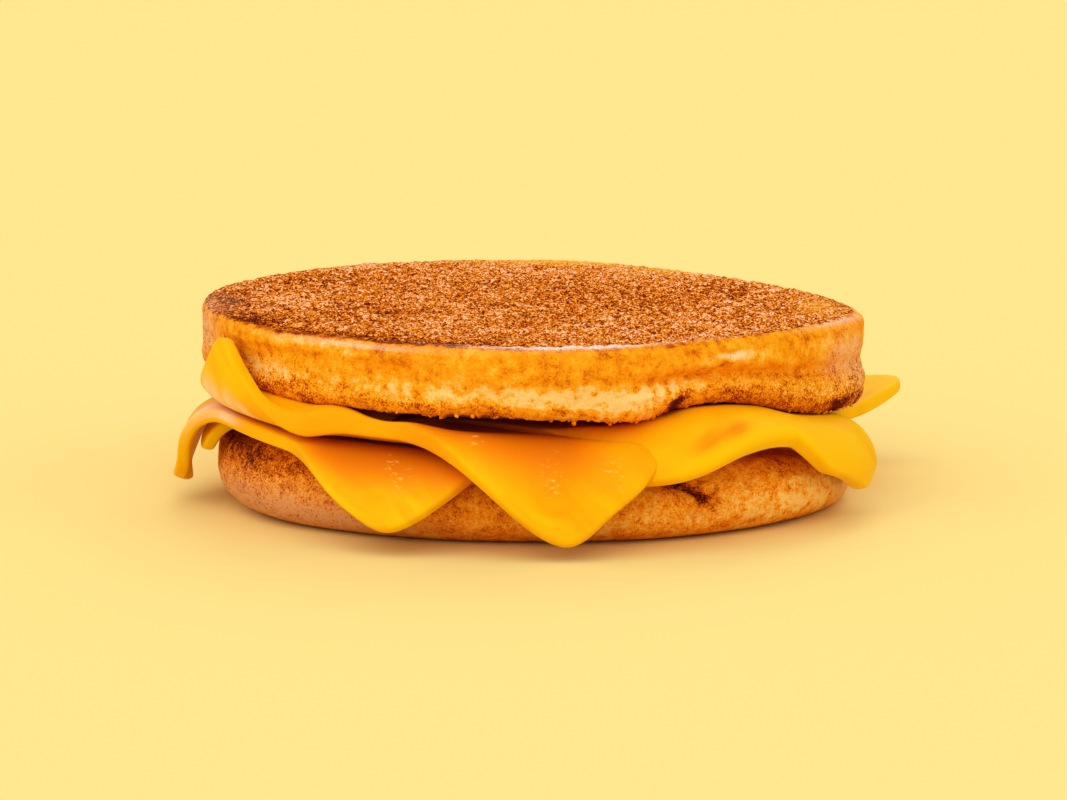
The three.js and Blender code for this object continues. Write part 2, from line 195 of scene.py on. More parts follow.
def hill(distance, spread):
    """A round hill: 1 in the middle, fading both ways."""
    return np.exp(-((distance / spread) ** 2))


def stretch(bearing, start, end, fade):
    """1 from bearing start to end, fading to 0 over fade degrees past each."""
    past = np.abs(turn(bearing, (start + end) / 2)) - (end - start) / 2
    return 1.0 - ease(past / fade)


def spans(table, bearing):
    """The sum of stretches (from, to, fade, strength)."""
    return sum((part * stretch(bearing, *limits) for *limits, part in table), 0.0 * bearing)


def patches(table, u, v, apart=np.subtract):
    """The sum of soft patches (u, v, spread in u, spread in v, strength); apart is how far u is from a patch."""
    total = np.zeros(np.broadcast(u, v).shape)
    for at_u, at_v, wide_u, wide_v, strength in table:
        total = total + strength * hill(apart(u, at_u), wide_u) * hill(v - at_v, wide_v)
    return total


def polar(x, y):
    """Radius and bearing."""
    return np.hypot(x, y), np.degrees(np.arctan2(y, x))


# How many random values a lattice has, and the primes that pick one for each of its points.
NOISE_VALUES = 4096
NOISE_PRIMES = np.array([73856093, 19349663, 83492791])


def lattice_noise(points, seed):
    """Smooth random hills from -1 to 1: random values on a unit lattice, blended by smooth steps."""
    values = np.random.default_rng(seed).uniform(-1.0, 1.0, NOISE_VALUES)
    cell = np.floor(points).astype(np.int64)
    part = ease(points - cell)
    total = np.zeros(points.shape[:-1])
    for corner in np.ndindex(2, 2, 2):
        key = np.bitwise_xor.reduce((cell + np.array(corner)) * NOISE_PRIMES, axis=-1)
        share = np.where(np.array(corner) == 1, part, 1.0 - part).prod(axis=-1)
        total += share * values[key % NOISE_VALUES]
    return total


# How much lower and finer each layer of noise is than the one before, and a turn that keeps their lattices apart.
LAYER_HEIGHT, LAYER_FINER = 0.55, 2.03
LAYER_TURN = np.array([[0.36, 0.48, -0.8], [-0.8, 0.6, 0.0], [0.48, 0.64, 0.6]])


def rough(points, size, seed, layers=2):
    """Layered noise of about -1 to 1; size is the width of the hills in its first and highest layer."""
    points = points / size
    total, height = 0.0, 1.0
    for layer in range(layers):
        total = total + height * lattice_noise(points, seed + layer)
        points = (points @ LAYER_TURN) * LAYER_FINER
        height *= LAYER_HEIGHT
    return total


# ---- slice shapes


def outline(piece, bearing):
    """A slice's radius: (|cos / width|^n + |sin / depth|^n)^(-1/n), plus its bulges."""
    power = piece["squareness"]
    across = np.abs(cosd(bearing)) / piece["half_width"]
    along = np.abs(sind(bearing)) / piece["half_depth"]
    radius = (across**power + along**power) ** (-1.0 / power)
    for at, out, spread in piece["bulges"]:
        radius = radius + out * hill(turn(bearing, at), spread)
    return radius


def lower_face(radius, bearing):
    """Height of the lower slice's upper face, pressed down here and there."""
    outer = ease((radius - PRESS_FROM) / PRESS_OVER)
    height = LOWER_THICKNESS
    for at, depth, spread in LOWER_PRESSES:
        height = height - depth * hill(turn(bearing, at), spread) * outer
    return height


def shoulder_radius(bearing):
    """Where the lower slice's upper face starts to round off."""
    return outline(LOWER, bearing) - SHOULDER


def toast_face(radius, bearing):
    """Height of the upper slice's toasted face, a little higher at the left."""
    return UPPER_TOP + UPPER_TILT * radius * cosd(bearing)


def cheese_thickness(piece, x, y):
    """Thin between the slices of bread, thicker where it hangs free."""
    radius, bearing = polar(x, y)
    return mix(CHEESE_THIN, piece["loose"], ease((radius - outline(LOWER, bearing) + THICKEN_FROM) / THICKEN_OVER))


def cheese_axes(piece):
    """The middle of a flat cheese slice and its unit vectors along a and b."""
    facing, half = piece["facing"], piece["side"] / math.sqrt(2.0)
    diagonal = facing + 45 * piece["corner_side"]
    centre = np.array(piece["corner"]) - half * np.array([cosd(diagonal), sind(diagonal)])
    return centre, np.array([cosd(facing), sind(facing)]), np.array([-sind(facing), cosd(facing)])


def cover(piece, x, y):
    """1 over a flat cheese slice, settling to 0 beyond its edge."""
    centre, *axes = cheese_axes(piece)
    dx, dy = x - centre[0], y - centre[1]
    out = [np.maximum(np.abs(dx * axis[0] + dy * axis[1]) - piece["side"] / 2, 0.0) for axis in axes]
    return 1.0 - ease(np.hypot(*out) / CHEESE_SETTLE)


def stack_height(index, x, y):
    """How high the underside of cheese slice number index lies over the lower slice."""
    height = np.full(np.shape(x), CHEESE_GAP)
    for piece in CHEESES[:index]:
        height = height + (cheese_thickness(piece, x, y) + CHEESE_GAP) * cover(piece, x, y)
    return height


def squeezed_by(index, x, y):
    """How much thicker a slice of cheese is where it is squeezed out below the upper slice."""
    radius, bearing = polar(x, y)
    end = outline(UPPER, bearing) - SQUEEZED_FROM
    at = np.minimum(radius, end)
    top = lower_face(at, bearing) + stack_height(index + 1, at * cosd(bearing), at * sind(bearing))
    room = np.maximum(upper_underside(at, bearing) - top, 0.0)
    return spans(CHEESES[index].get("squeezed", []), bearing) * room * (1.0 - ease((radius - end) / SQUEEZED_TO))


def edge_height(bearing):
    """Height of the upper slice's lower edge before it settles on the cheese."""
    return EDGE_LEVEL - 1.1 * hill(turn(bearing, -77), 8) + spans(EDGE_PARTS, bearing)


def upper_underside(radius, bearing):
    """Height of the upper slice's underside: on the cheese, then out to its lower edge."""
    x, y = radius * cosd(bearing), radius * sind(bearing)
    on_cheese = lower_face(radius, bearing) + stack_height(len(CHEESES), x, y)
    start = outline(UPPER, bearing) - SEAT_WIDTH
    seat = mix(on_cheese, edge_height(bearing), ease((radius - start) / SEAT_OVER))
    return (on_cheese + seat + np.hypot(on_cheese - seat, SEAT_BLEND)) / 2


# ---- crust relief


def upper_side_relief(bearing, share):
    """How far the upper slice's side stands out; share is 0 at its lower edge and 1 at its rim.

    A soft belly over a torn groove at the right front, a lip under the left rim, a blister and slow waves.
    """
    belly = 0.7 * stretch(bearing, -95, -45, 22)
    torn = stretch(bearing, -66, -14, 10)
    lip = 0.6 * stretch(bearing, -146, -112, 8)
    waves = 0.35 * sind(3 * bearing + 20) + 0.25 * sind(8 * bearing)
    return (
        belly * hill(share - 0.72, 0.25)
        - 1.3 * torn * hill(share - 0.5, 0.12)
        + 0.5 * torn * hill(share - 0.22, 0.16)
        + lip * hill(share - 0.92, 0.1)
        + 1.2 * hill(turn(bearing, -53), 4) * hill(share - 0.84, 0.14)
        + waves * hill(share - 0.45, 0.4)
    )


def ragged(bearing):
    """Crumbs and flakes along the upper slice's torn lower edge."""
    flakes = stretch(bearing, -112, -66, 10) * np.abs(sind(31 * bearing) * sind(13 * bearing))
    return 0.3 * sind(11 * bearing) * sind(5 * bearing) - 0.25 * flakes


def fold_bearing(height):
    """Where the fold in the lower slice's side runs; it leans to the left as it climbs."""
    return -60 - 9 * ease((height - 7.0) / 6.0)


def lower_side_relief(bearing, height):
    """Creases and hollows in the lower slice's side."""
    crease = 1.5 * hill(turn(bearing, fold_bearing(height)), 3) * ease((height - 2.0) / 3.0)
    notch = 0.8 * hill(turn(bearing, -51), 3) * ease((height - 9.0) / 3.0)
    waves = 0.4 * sind(4 * bearing + 50) + 0.25 * sind(9 * bearing + 10)
    return waves * hill(height - 7.0, 6) - crease - notch


def marks(table, bearing, level):
    """The sum of soft patches of the crust."""
    return patches(table, bearing, level, turn)


# Where the crust is paler, browner, burnt, painted with a pinkish sheen, grainy, or glossy with a painted pale
# shine: (bearing, level, spread, rise, strength).
# The level is the share of the side's height on the upper slice, and millimetres on the lower one.
UPPER_MARKS = {
    "pale": [
        (-78, 0.24, 11, 0.20, 3.0), (-68, 0.28, 6, 0.15, 1.2), (-97, 0.30, 12, 0.20, 1.0),
        # The patches at -52, -57 and -30 high on the right front are cream streaks and a blister, lit up with
        # painted highlights.
        (-118, 0.34, 12, 0.20, 0.8), (-139, 0.40, 6, 0.18, 1.1), (-52, 0.88, 5, 0.09, 1.0),
        (-57, 0.78, 10, 0.08, 0.35), (-30, 0.84, 9, 0.12, 0.4), (-132, 1.02, 8, 0.045, 1.2),
        (-122, 0.93, 3, 0.06, 0.9), (30, 0.36, 26, 0.24, 0.8), (84, 0.42, 22, 0.24, 0.7),
        (140, 0.34, 24, 0.24, 0.8),
    ],
    "brown": [
        (-147, 0.06, 6, 0.16, 0.45), (-132, -0.04, 14, 0.05, 0.5), (-108, -0.04, 22, 0.045, 0.5),
        (-88, -0.04, 18, 0.05, 0.5), (-136, 1.12, 9, 0.03, 1.2), (-114, 1.145, 12, 0.025, 1.3),
        (-96, 1.12, 6, 0.02, 0.9), (-70, 1.10, 12, 0.025, 0.7), (-65, 0.16, 4.5, 0.13, 1.0),
        (-52, 0.06, 7, 0.1, 0.45), (-34, 0.03, 14, 0.08, 0.4), (-60, 0.50, 5, 0.03, 0.5),
        (-36, 0.44, 14, 0.03, 0.3), (-20, 0.05, 8, 0.1, 0.9), (40, 0.04, 60, 0.1, 0.8),
        (140, 0.04, 50, 0.1, 0.8),
    ],
    "burnt": [
        (-65, 0.0, 1.8, 0.08, 1.2), (-23, 0.0, 2.4, 0.07, 0.8), (-15, 0.02, 1.4, 0.06, 0.5),
        (-150, -0.02, 8, 0.04, 0.3), (60, 1.0, 60, 0.04, 0.5),
    ],
    # Pale pinkish sheen painted on the crust, mostly at the ends of the slices.
    "floury": [
        (-19, 0.68, 6, 0.22, 1.0), (-12, 0.40, 7, 0.30, 0.5), (-171, 0.6, 11, 0.5, 1.0),
        (150, 0.6, 14, 0.3, 0.6),
    ],
    "grainy": [
        (-140, 0.25, 12, 0.35, 1.0), (-112, 0.08, 20, 0.18, 0.7), (-36, 0.16, 28, 0.24, 1.1),
        (-12, 0.30, 12, 0.30, 0.8), (-168, 0.4, 12, 0.5, 0.8), (60, 0.2, 70, 0.3, 0.7),
        (150, 0.2, 30, 0.3, 0.7),
    ],
    # Glossy places are also laid over with the pale pinkish shine colour: a painted highlight, as on the front rim
    # and a blister.
    "glossy": [
        (-88, 1.16, 12, 0.04, 1.1), (-76, 1.17, 6, 0.035, 0.8), (-60, 1.18, 10, 0.02, 0.35),
        (-53, 0.9, 3, 0.03, 0.7), (-122, 1.06, 12, 0.03, 0.5), (-20, 1.12, 10, 0.04, 0.5),
    ],
}
# Bearings of the thin dark line round the rim: (from, to, fade, strength).
RIM_LINE = [(-150, -104, 8, 1.0), (-100, -66, 10, 0.5), (-58, 0, 10, 0.6), (20, 170, 20, 0.9)]
LOWER_MARKS = {
    "pale": [
        (-42, 4.5, 16, 3.0, 0.8), (-30, 6.5, 10, 3.5, 0.9), (-20, 6.0, 8, 3.0, 0.9), (-74, 4.5, 12, 3.0, 0.3),
        (60, 5.0, 30, 4.0, 0.5), (130, 5.0, 26, 4.0, 0.5),
    ],
    "brown": [
        (-154, 12.5, 18, 3.6, 1.2), (-128, 12.0, 14, 3.0, 0.8), (-100, 11.5, 20, 3.0, 0.6),
        (-64, 11.5, 5, 2.0, 0.8), (-38, 12.0, 12, 1.6, 0.4), (-95, 0.2, 60, 0.6, 0.5),
        (40, 11.5, 40, 3.0, 0.7), (110, 11.5, 40, 3.0, 0.7),
    ],
    "burnt": [(-160, 14.5, 14, 1.8, 0.5), (-66, 12.4, 2.4, 1.4, 0.5)],
    "floury": [
        (-150, 4.0, 24, 4.0, 1.0), (-126, 3.0, 14, 2.6, 0.7), (-22, 7.0, 7, 4.0, 1.1),
        (-10, 4.0, 10, 3.0, 0.5), (150, 4.0, 24, 4.0, 0.8),
    ],
    "grainy": [(-145, 7.0, 40, 9.0, 1.0), (-50, 6.0, 60, 9.0, 0.8), (90, 6.0, 90, 9.0, 0.8)],
    "glossy": [],
}

# ---- mesh making


def make_piece(name, points, faces, masks, material, slot, node):
    """Puts points (millimetres) and their faces into a mesh object that rides on the sandwich.

    faces is a list of arrays of shape (count, corners). masks are named values, one per point.
    """
    mesh = bpy.data.meshes.new(name)
    mesh.vertices.add(len(points))
    mesh.vertices.foreach_set("co", (points * MM).astype(np.float32).ravel())
    corners = np.concatenate([part.ravel() for part in faces]).astype(np.int32)
    sizes = np.concatenate([np.full(len(part), part.shape[1]) for part in faces])
    mesh.loops.add(len(corners))
    mesh.loops.foreach_set("vertex_index", corners)
    mesh.polygons.add(len(sizes))
    mesh.polygons.foreach_set("loop_start", np.concatenate([[0], np.cumsum(sizes)[:-1]]).astype(np.int32))
    mesh.update(calc_edges=True)
    mesh.validate()
    for key, values in masks.items():
        layer = mesh.attributes.new(key, "FLOAT", "POINT")
        layer.data.foreach_set("value", np.asarray(values, np.float32).ravel())
    mesh.shade_smooth()
    mesh.materials.append(material)
    piece = bpy.data.objects.new(name, mesh)
    bpy.context.scene.collection.objects.link(piece)
    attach(piece, "root")
    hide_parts(node)


def ring_faces(rings, around, start=0, climbing=True):
    """Quads between each ring of points and the next, for rings that climb the outside of a body or go down it."""
    ring = start + around * np.arange(rings - 1)[:, None]
    here = np.arange(around)
    after = (here + 1) % around
    quads = [ring + here, ring + after, ring + around + after, ring + around + here]
    return np.stack(quads if climbing else [quads[0], *quads[:0:-1]], axis=-1).reshape(-1, 4)


def fan_faces(pole, first, around, outward):
    """Triangles from a pole to a ring; outward turns them to face up."""
    here = first + np.arange(around)
    after = first + (np.arange(around) + 1) % around
    ends = (here, after) if outward else (after, here)
    return np.stack([np.full(around, pole), *ends], axis=-1)


def grid_faces(grid, flip=False):
    """Quads between the points of a grid of point numbers."""
    corners = [grid[:-1, :-1], grid[1:, :-1], grid[1:, 1:], grid[:-1, 1:]]
    return np.stack(corners[::-1] if flip else corners, axis=-1).reshape(-1, 4)


def shell_faces(rings, around):
    """Faces of a body of climbing rings, closed by a lower and an upper pole whose points come last."""
    count = rings * around
    fans = [fan_faces(count, 0, around, False), fan_faces(count + 1, count - around, around, True)]
    return ring_faces(rings, around), np.concatenate(fans)


def place(radius, bearing, height):
    """Points from radius, bearing and height."""
    return np.stack([radius * cosd(bearing), radius * sind(bearing), height + 0.0 * radius], axis=-1)


def ringed_body(bearing, rings, low, high):
    """Points and faces of a body of rings (radius, height, ...), closed in the middle at heights low and high."""
    radii, heights = (np.array([ring[part] + 0 * bearing for ring in rings]) for part in (0, 1))
    points = np.concatenate([place(radii, bearing, heights).reshape(-1, 3), [[0, 0, low], [0, 0, high]]])
    return points, shell_faces(len(rings), len(bearing))


def bearings(around):
    return np.arange(around) * 360.0 / around - 180.0


# ---- upper slice


def upper_lowest(bearing):
    """Height of the lowest ring of the upper slice, with its torn crumbs."""
    torn = stretch(bearing, -114, -70, 8)
    at = place(57.0 + 0 * bearing, bearing, 0 * bearing)
    flakes = np.maximum(rough(at, 0.9, seed=31), 0.0) * (0.2 + 0.6 * torn)
    return upper_underside(outline(UPPER, bearing) - LOWER_ROUND, bearing) + ragged(bearing) - flakes


def upper_side_grain(points, bearing, share):
    """Fine relief of the upper slice's side: open crumb low down, a smoother crust above, fibres at the ends."""
    crumb = 0.25 + 0.75 * ease((0.62 - share) / 0.3)
    torn = stretch(bearing, -64, -8, 8) * ease((0.6 - share) / 0.2)
    lumps = 0.28 * rough(points, 5.0, seed=3)
    open_crumb = -0.34 * np.abs(rough(points, 2.3, seed=7, layers=3)) * (crumb + 0.5 * torn)
    fibres = points * np.array([1.0, 1.0, 0.28])
    ends = marks(UPPER_MARKS["floury"], bearing, share)
    return lumps + open_crumb - 0.16 * ends * np.abs(rough(fibres, 1.1, seed=13))


def upper_side(bearing, height_share):
    """A ring of the upper slice's side; 0 is the top of its lower rounding and 1 the foot of its rim."""
    edge = outline(UPPER, bearing)
    low = upper_lowest(bearing)
    top = toast_face(edge, bearing) - RIM_DROP
    height = mix(low + LOWER_RISE, top, height_share)
    share = (height - low - 0.6 * LOWER_RISE) / (top - low - 0.6 * LOWER_RISE)
    radius = edge + upper_side_relief(bearing, share)
    return radius + upper_side_grain(place(radius, bearing, height), bearing, share), height, share


def upper_rim(bearing, angle):
    """A ring of the rim's rounding; angle is 0 on the side and 90 on the toasted face."""
    edge = outline(UPPER, bearing)
    out = edge - RIM_ROUND * (1.0 - cosd(angle))
    relief = upper_side_relief(bearing, 0.95) * cosd(angle)
    height = toast_face(out, bearing) - RIM_DROP * (1.0 - sind(angle))
    side = upper_side_grain(place(out, bearing, height), bearing, 1.0) * cosd(angle)
    return out + relief + side, height


def upper_body(around, steps):
    """The upper slice's crumb: underside, lower rounding, side, and a top sunk under the toasted crust."""
    bearing = bearings(around)
    edge, low = outline(UPPER, bearing), upper_lowest(bearing)
    rings = []
    for share in np.linspace(0.12, 1.0, 22):
        radius = (edge - LOWER_ROUND) * share
        settle = ease((share - 0.86) / 0.14)
        height = mix(upper_underside(radius, bearing), low, settle)
        lumps = 0.25 * rough(place(radius, bearing, height), 3.0, seed=17) * (1 - settle)
        rings.append((radius, height + lumps, -0.1))
    for angle in np.linspace(12, 84, steps // 5):
        relief = (upper_side_relief(bearing, 0) + 0.6 * (upper_side(bearing, 0.0)[0] - edge)) * sind(angle)
        radius = edge - LOWER_ROUND * (1 - sind(angle))
        rings.append((radius + relief * 0.8, low + LOWER_RISE * (1 - cosd(angle)), 0.0))
    rings += [upper_side(bearing, step) for step in np.linspace(0, 1, steps)]
    for angle in np.linspace(8, 88, 8):
        radius, height = upper_rim(bearing, angle)
        tuck = 0.7 * ease((angle - 4) / 30)
        rings.append((radius - tuck * cosd(angle), height - tuck * sind(angle), 1.0))
    for share in np.linspace(0.93, 0.1, 5):
        radius = (edge - RIM_ROUND) * share
        rings.append((radius, toast_face(radius, bearing) - BODY_SUNK, 1.05))
    points, faces = ringed_body(bearing, rings, upper_underside(0.0, 0.0), UPPER_TOP - BODY_SUNK)
    shares = np.array([share + 0 * bearing for *_, share in rings])
    masks = {key: np.append(marks(table, bearing, shares), [0, 0]) for key, table in UPPER_MARKS.items()}
    masks["toast"] = np.append(ease((shares - 1.0) / 0.04), [0, 0])
    masks["relief"], masks["butter"] = np.full(len(points), 0.5), np.zeros(len(points))
    return points, faces, masks


# Patches of the toasted face: (x, y, spread in x, spread in y, strength); darker and paler ones.
TOAST_DARK = [
    (-58, -8, 6, 16, 1.2), (-50, -30, 12, 7, 1.2), (-36, -46, 12, 5, 1.0), (-18, -53, 12, 4, 0.7),
    (-30, -18, 10, 10, 0.5), (10, 0, 24, 22, 0.30), (34, 10, 14, 16, 0.35), (-40, 22, 14, 12, 0.4),
    (57, 6, 3, 14, 0.5),
]
TOAST_PALE = [
    (50, -6, 7, 12, 0.9), (34, 38, 20, 6, 1.0), (6, 50, 26, 5, 0.7), (-47, -2, 5, 14, 0.4),
    (-38, -26, 10, 3.5, 0.4), (-14, 38, 24, 8, 0.35), (40, -30, 12, 8, 0.45), (0, -42, 40, 5, 0.35),
]
# Smooth golden streaks of butter on the toasted face, in the same form.
TOAST_BUTTER = [(8, 52, 22, 4.0, 0.9), (36, 42, 16, 5.0, 0.9), (52, -4, 4, 9, 0.5)]


def toast_relief(points, soft):
    """Toasted crumb in millimetres, never above the face: slow dips, open pores and standing grains.

    soft is 0 on the open crumb and 1 where melted butter has smoothed it over.
    """
    flat = points * np.array([1.0, 1.0, 0.6])
    dips = 0.12 * (rough(flat, 9.0, seed=41) - 1.2)
    pores = 0.34 * rough(flat, 1.7, seed=47)
    grains = 0.44 * rough(flat, 0.82, seed=53)
    radius, bearing = polar(points[:, 0], points[:, 1])
    near_rim = ease((radius - outline(UPPER, bearing) + 9.0) / 7.0)
    return np.minimum(dips + (pores + grains - 0.42) * (1 - 0.7 * soft) * (1 - 0.5 * near_rim), 0.0)


def toast_cap(settings, lines):
    """The toasted crust of the upper slice: its face, its rim and a hem tucked into the side.

    The face is a square grid bent to a disc, x = u sqrt(1 - v^2 / 2) and y = v sqrt(1 - u^2 / 2), so that its
    grains are cut evenly from the middle to the rim. Rings round the rim carry on from the grid's border.
    """
    line = np.linspace(-1, 1, lines)
    u, v = np.meshgrid(line, line, indexing="ij")
    share, bearing = polar(u * np.sqrt(1 - v * v / 2), v * np.sqrt(1 - u * u / 2))
    radius = share * (outline(UPPER, bearing) - RIM_ROUND)
    face = place(radius, bearing, toast_face(radius, bearing)).reshape(-1, 3)
    relief = [toast_relief(face, np.clip(patches(TOAST_BUTTER, face[:, 0], face[:, 1]), 0, 1))]
    face[:, 2] += settings.grain * relief[0]
    index = np.arange(lines * lines).reshape(lines, lines)
    border = np.concatenate([index[:-1, 0], index[-1, :-1], index[:0:-1, -1], index[0, :0:-1]])
    around, start = len(border), lines * lines
    rim_bearing = bearing.reshape(-1)[border]

    rings, levels = [], []
    for angle in np.linspace(80, 0, RIM_RINGS):
        radius, height = upper_rim(rim_bearing, angle)
        ring = place(radius, rim_bearing, height)
        relief.append(toast_relief(ring, 1 - 0.9 * sind(angle)))
        sunk = settings.grain * relief[-1] * (0.35 + 0.65 * sind(angle))
        rings.append(ring + sunk[:, None] * place(cosd(angle) + 0 * rim_bearing, rim_bearing, sind(angle)))
        levels.append(mix(1.0, FACE_LEVEL, angle / 90) + 0 * rim_bearing)
    for step, proud, rise in HEM:
        radius, height, level = upper_side(rim_bearing, step)
        rings.append(place(radius + proud, rim_bearing, height + rise))
        levels.append(level)
    points = np.concatenate([face, *rings, [[0, 0, UPPER_TOP - CRUST_DEPTH]]])

    ends = [border, start + np.arange(around)]
    join = np.stack([ends[0], ends[1], np.roll(ends[1], -1), np.roll(ends[0], -1)], axis=-1)
    last = start + around * (len(rings) - 1)
    sides = ring_faces(len(rings), around, start, climbing=False)
    faces = [grid_faces(index), join, sides, fan_faces(last + around, last, around, False)]

    x, y, _ = points.T
    bearing = polar(x, y)[1]
    level = np.concatenate([FACE_LEVEL + FACE_CLIMB * (1 - share.reshape(-1)), *levels, [FACE_LEVEL]])
    front = stretch(bearing, -140, -10, 24)
    toast = ease((level - 1.05 - 0.09 * front + 0.03 * rough(points, 1.6, seed=59)) / 0.06)
    sunk = np.concatenate([*relief, np.full(len(points) - start - RIM_RINGS * around, -0.4)])
    masks = {key: marks(table, bearing, level) for key, table in UPPER_MARKS.items()}
    rim_line = spans(RIM_LINE, bearing) * hill(level - 1.12 - 0.09 * front, 0.05)
    masks["burnt"] = np.maximum(masks["burnt"], patches(TOAST_DARK, x, y) * toast) + 0.8 * rim_line
    masks["pale"] = mix(masks["pale"], patches(TOAST_PALE, x, y), toast)
    masks["grainy"] = np.maximum(masks["grainy"], toast)
    masks["glossy"] *= 1 - ease((level - 1.18) / 0.03)
    masks["toast"], masks["butter"] = toast, np.clip(patches(TOAST_BUTTER, x, y), 0, 1) * toast
    # The lower the relief, the lower the value and the darker the tone: painted shade in the pits and painted
    # glints on the peaks.
    masks["relief"] = np.clip(0.74 + 0.6 * (sunk + 0.12), 0, 1)
    return points, faces, masks


# Where small crumbs cling below the upper slice's torn edge: (bearing, spread, how many).
CRUMB_SEED = 211
CRUMBS = [(-80, 5, 34), (-92, 7, 30), (-104, 6, 16), (-68, 4, 18), (-38, 12, 22), (-18, 4, 8), (-128, 9, 12)]


def edge_crumbs():
    """Small uneven lumps on the lower edge of the upper slice: balls whose radius swings with noise."""
    rng = np.random.default_rng(CRUMB_SEED)
    bearing = np.concatenate([rng.normal(at, spread, count) for at, spread, count in CRUMBS])
    count, rings, around = len(bearing), 5, 8
    size = rng.uniform(0.12, 0.38, count)
    out = outline(UPPER, bearing) - LOWER_ROUND * rng.uniform(0.35, 0.95, count)
    middle = place(out, bearing, upper_lowest(bearing) + 0.15 - 0.25 * size + rng.uniform(0, 0.5, count))
    climb, swing = np.meshgrid(np.linspace(-60, 60, rings), np.arange(around) * 360 / around, indexing="ij")
    ball = np.concatenate([place(cosd(climb), swing, sind(climb)).reshape(-1, 3), [[0, 0, -1.0], [0, 0, 1.0]]])
    lumps = middle[:, None, :] + size[:, None, None] * ball
    lumps = lumps + 0.3 * (size[:, None] * rough(lumps, 0.5, seed=223))[:, :, None] * ball
    shift = len(ball) * np.arange(count)[:, None, None]
    faces = [(part + shift).reshape(-1, part.shape[1]) for part in shell_faces(rings, around)]
    points = lumps.reshape(-1, 3)
    masks = {key: np.zeros(len(points)) for key in (*UPPER_MARKS, "toast", "butter")}
    masks["brown"] = np.repeat(rng.uniform(0, 0.8, count), len(ball))
    masks["relief"] = np.full(len(points), 0.5)
    return points, faces, masks


# ---- lower slice


def lower_grain(points, bearing, height):
    """Fine relief of the lower slice: soft lumps, pores, and sharp creases where its side has folded."""
    lumps = 0.3 * rough(points, 6.0, seed=61)
    pores = -0.26 * np.abs(rough(points, 1.9, seed=67, layers=3))
    bent = fold_bearing(height) + 1.2 * sind(height * 50)
    fold = -1.3 * hill(turn(bearing, bent), 1.0) * ease((height - 2.5) / 3.0)
    second = -0.5 * hill(turn(bearing, -51 + 0.5 * height - 5), 1.0) * ease((height - 7.0) / 3.0)
    small = -0.35 * hill(turn(bearing, -36 + 0.4 * height), 1.2) * ease((height - 8.0) / 3.0)
    return lumps + pores + fold + second + small


def lower_body(around, steps):
    """The lower slice: flat toasted underside, a rounded foot, its side and a pressed upper face."""
    bearing = bearings(around)
    edge, inner = outline(LOWER, bearing), shoulder_radius(bearing)
    foot = mix(FOOT_LEFT, FOOT_RIGHT, stretch(bearing, -8, 20, 30))
    rings = []
    for share in np.linspace(0.06, 1.0, 26):
        radius = (edge - foot) * share
        bumps = 0.25 * rough(place(radius, bearing, 0), 2.4, seed=71, layers=3) * ease((1.02 - share) / 0.05)
        rings.append((radius, np.maximum(bumps, 0.0)))
    for angle in np.linspace(4, 90, steps // 2 + 4):
        height = WAIST * (1 - cosd(angle))
        out = edge - foot * (1 - sind(angle)) + lower_side_relief(bearing, height)
        rings.append((out + lower_grain(place(out, bearing, height), bearing, height) * sind(angle), height))
    for angle in np.linspace(3, 90, steps // 2 + 2):
        height = WAIST + (lower_face(inner, bearing) - WAIST) * sind(angle)
        out = inner + (SHOULDER + lower_side_relief(bearing, height)) * cosd(angle)
        grain = lower_grain(place(out, bearing, height), bearing, height)
        rings.append((out + grain * cosd(angle), height + np.minimum(grain * sind(angle), 0.0)))
    for share in np.linspace(0.96, 0.1, 12):
        out = inner * share
        dents = 0.12 + 0.2 * np.abs(rough(place(out, bearing, 0), 2.0, seed=73))
        rings.append((out, lower_face(out, bearing) - dents))
    points, faces = ringed_body(bearing, rings, 0.0, LOWER_THICKNESS - 0.2)
    x, y, height = points.T
    bearing = polar(x, y)[1]
    under = ease((0.5 - height) / 0.5)
    # Browner just beside the fold in the side: painted shade in the crease.
    past = turn(bearing, fold_bearing(height))
    fold = 1.8 * ease((past + 0.5) / 0.4) * (1 - ease(past / 4.5)) * ease((height - 4.5) / 4.0)
    masks = {key: marks(table, bearing, height) for key, table in LOWER_MARKS.items()}
    masks["brown"] += fold * ease((13.5 - height) / 2.0)
    masks["pale"] = mix(masks["pale"], 0.5 + 0.5 * rough(points * [1, 1, 0], 16.0, seed=83), under)
    masks["relief"] = np.clip(0.5 + 0.3 * rough(points, 1.4, seed=79), 0, 1)
    masks["toast"], masks["butter"] = under, np.zeros(len(points))
    return points, faces, masks


# ---- cheese


def edge_share(distance):
    """Share of the thickness left at a distance inside the cut edge: a superellipse, nearly square."""
    t = np.clip(distance / CHEESE_EDGE, 0.0, 1.0)
    return (1.0 - (1.0 - t) ** CHEESE_EDGE_POWER) ** (1.0 / CHEESE_EDGE_POWER)


def cheese_lines(half, spacing):
    """Grid lines from one edge to the other: even along the edge's rounding, close together near it."""
    rim = CHEESE_EDGE * (1.0 - cosd(np.linspace(0, 90, 10)) ** (2.0 / CHEESE_EDGE_POWER))
    inside = np.linspace(4.2, half, max(int((half - 4.2) / spacing), 4))
    line = (half - np.concatenate([rim, [1.3, 1.8, 2.4, 3.0, 3.6], inside])) / half
    return np.concatenate([-line[:-1], line[::-1]])


def slopes(piece, bearing, arc):
    """How steeply a slice slopes down, and in all, arc millimetres past the bread's shoulder."""
    down, up = 0.0 * bearing, 0.0 * bearing
    for angle, start, end, fade, begin, length in piece["drops"]:
        down = np.maximum(down, angle * stretch(bearing, start, end, fade) * ease((arc - begin) / length))
    for angle, start, end, fade, inset, length in piece.get("curls", []):
        begin = outline(UPPER, bearing) - inset - shoulder_radius(bearing)
        up = np.maximum(up, angle * stretch(bearing, start, end, fade) * ease((arc - begin) / length))
    return down, down - up


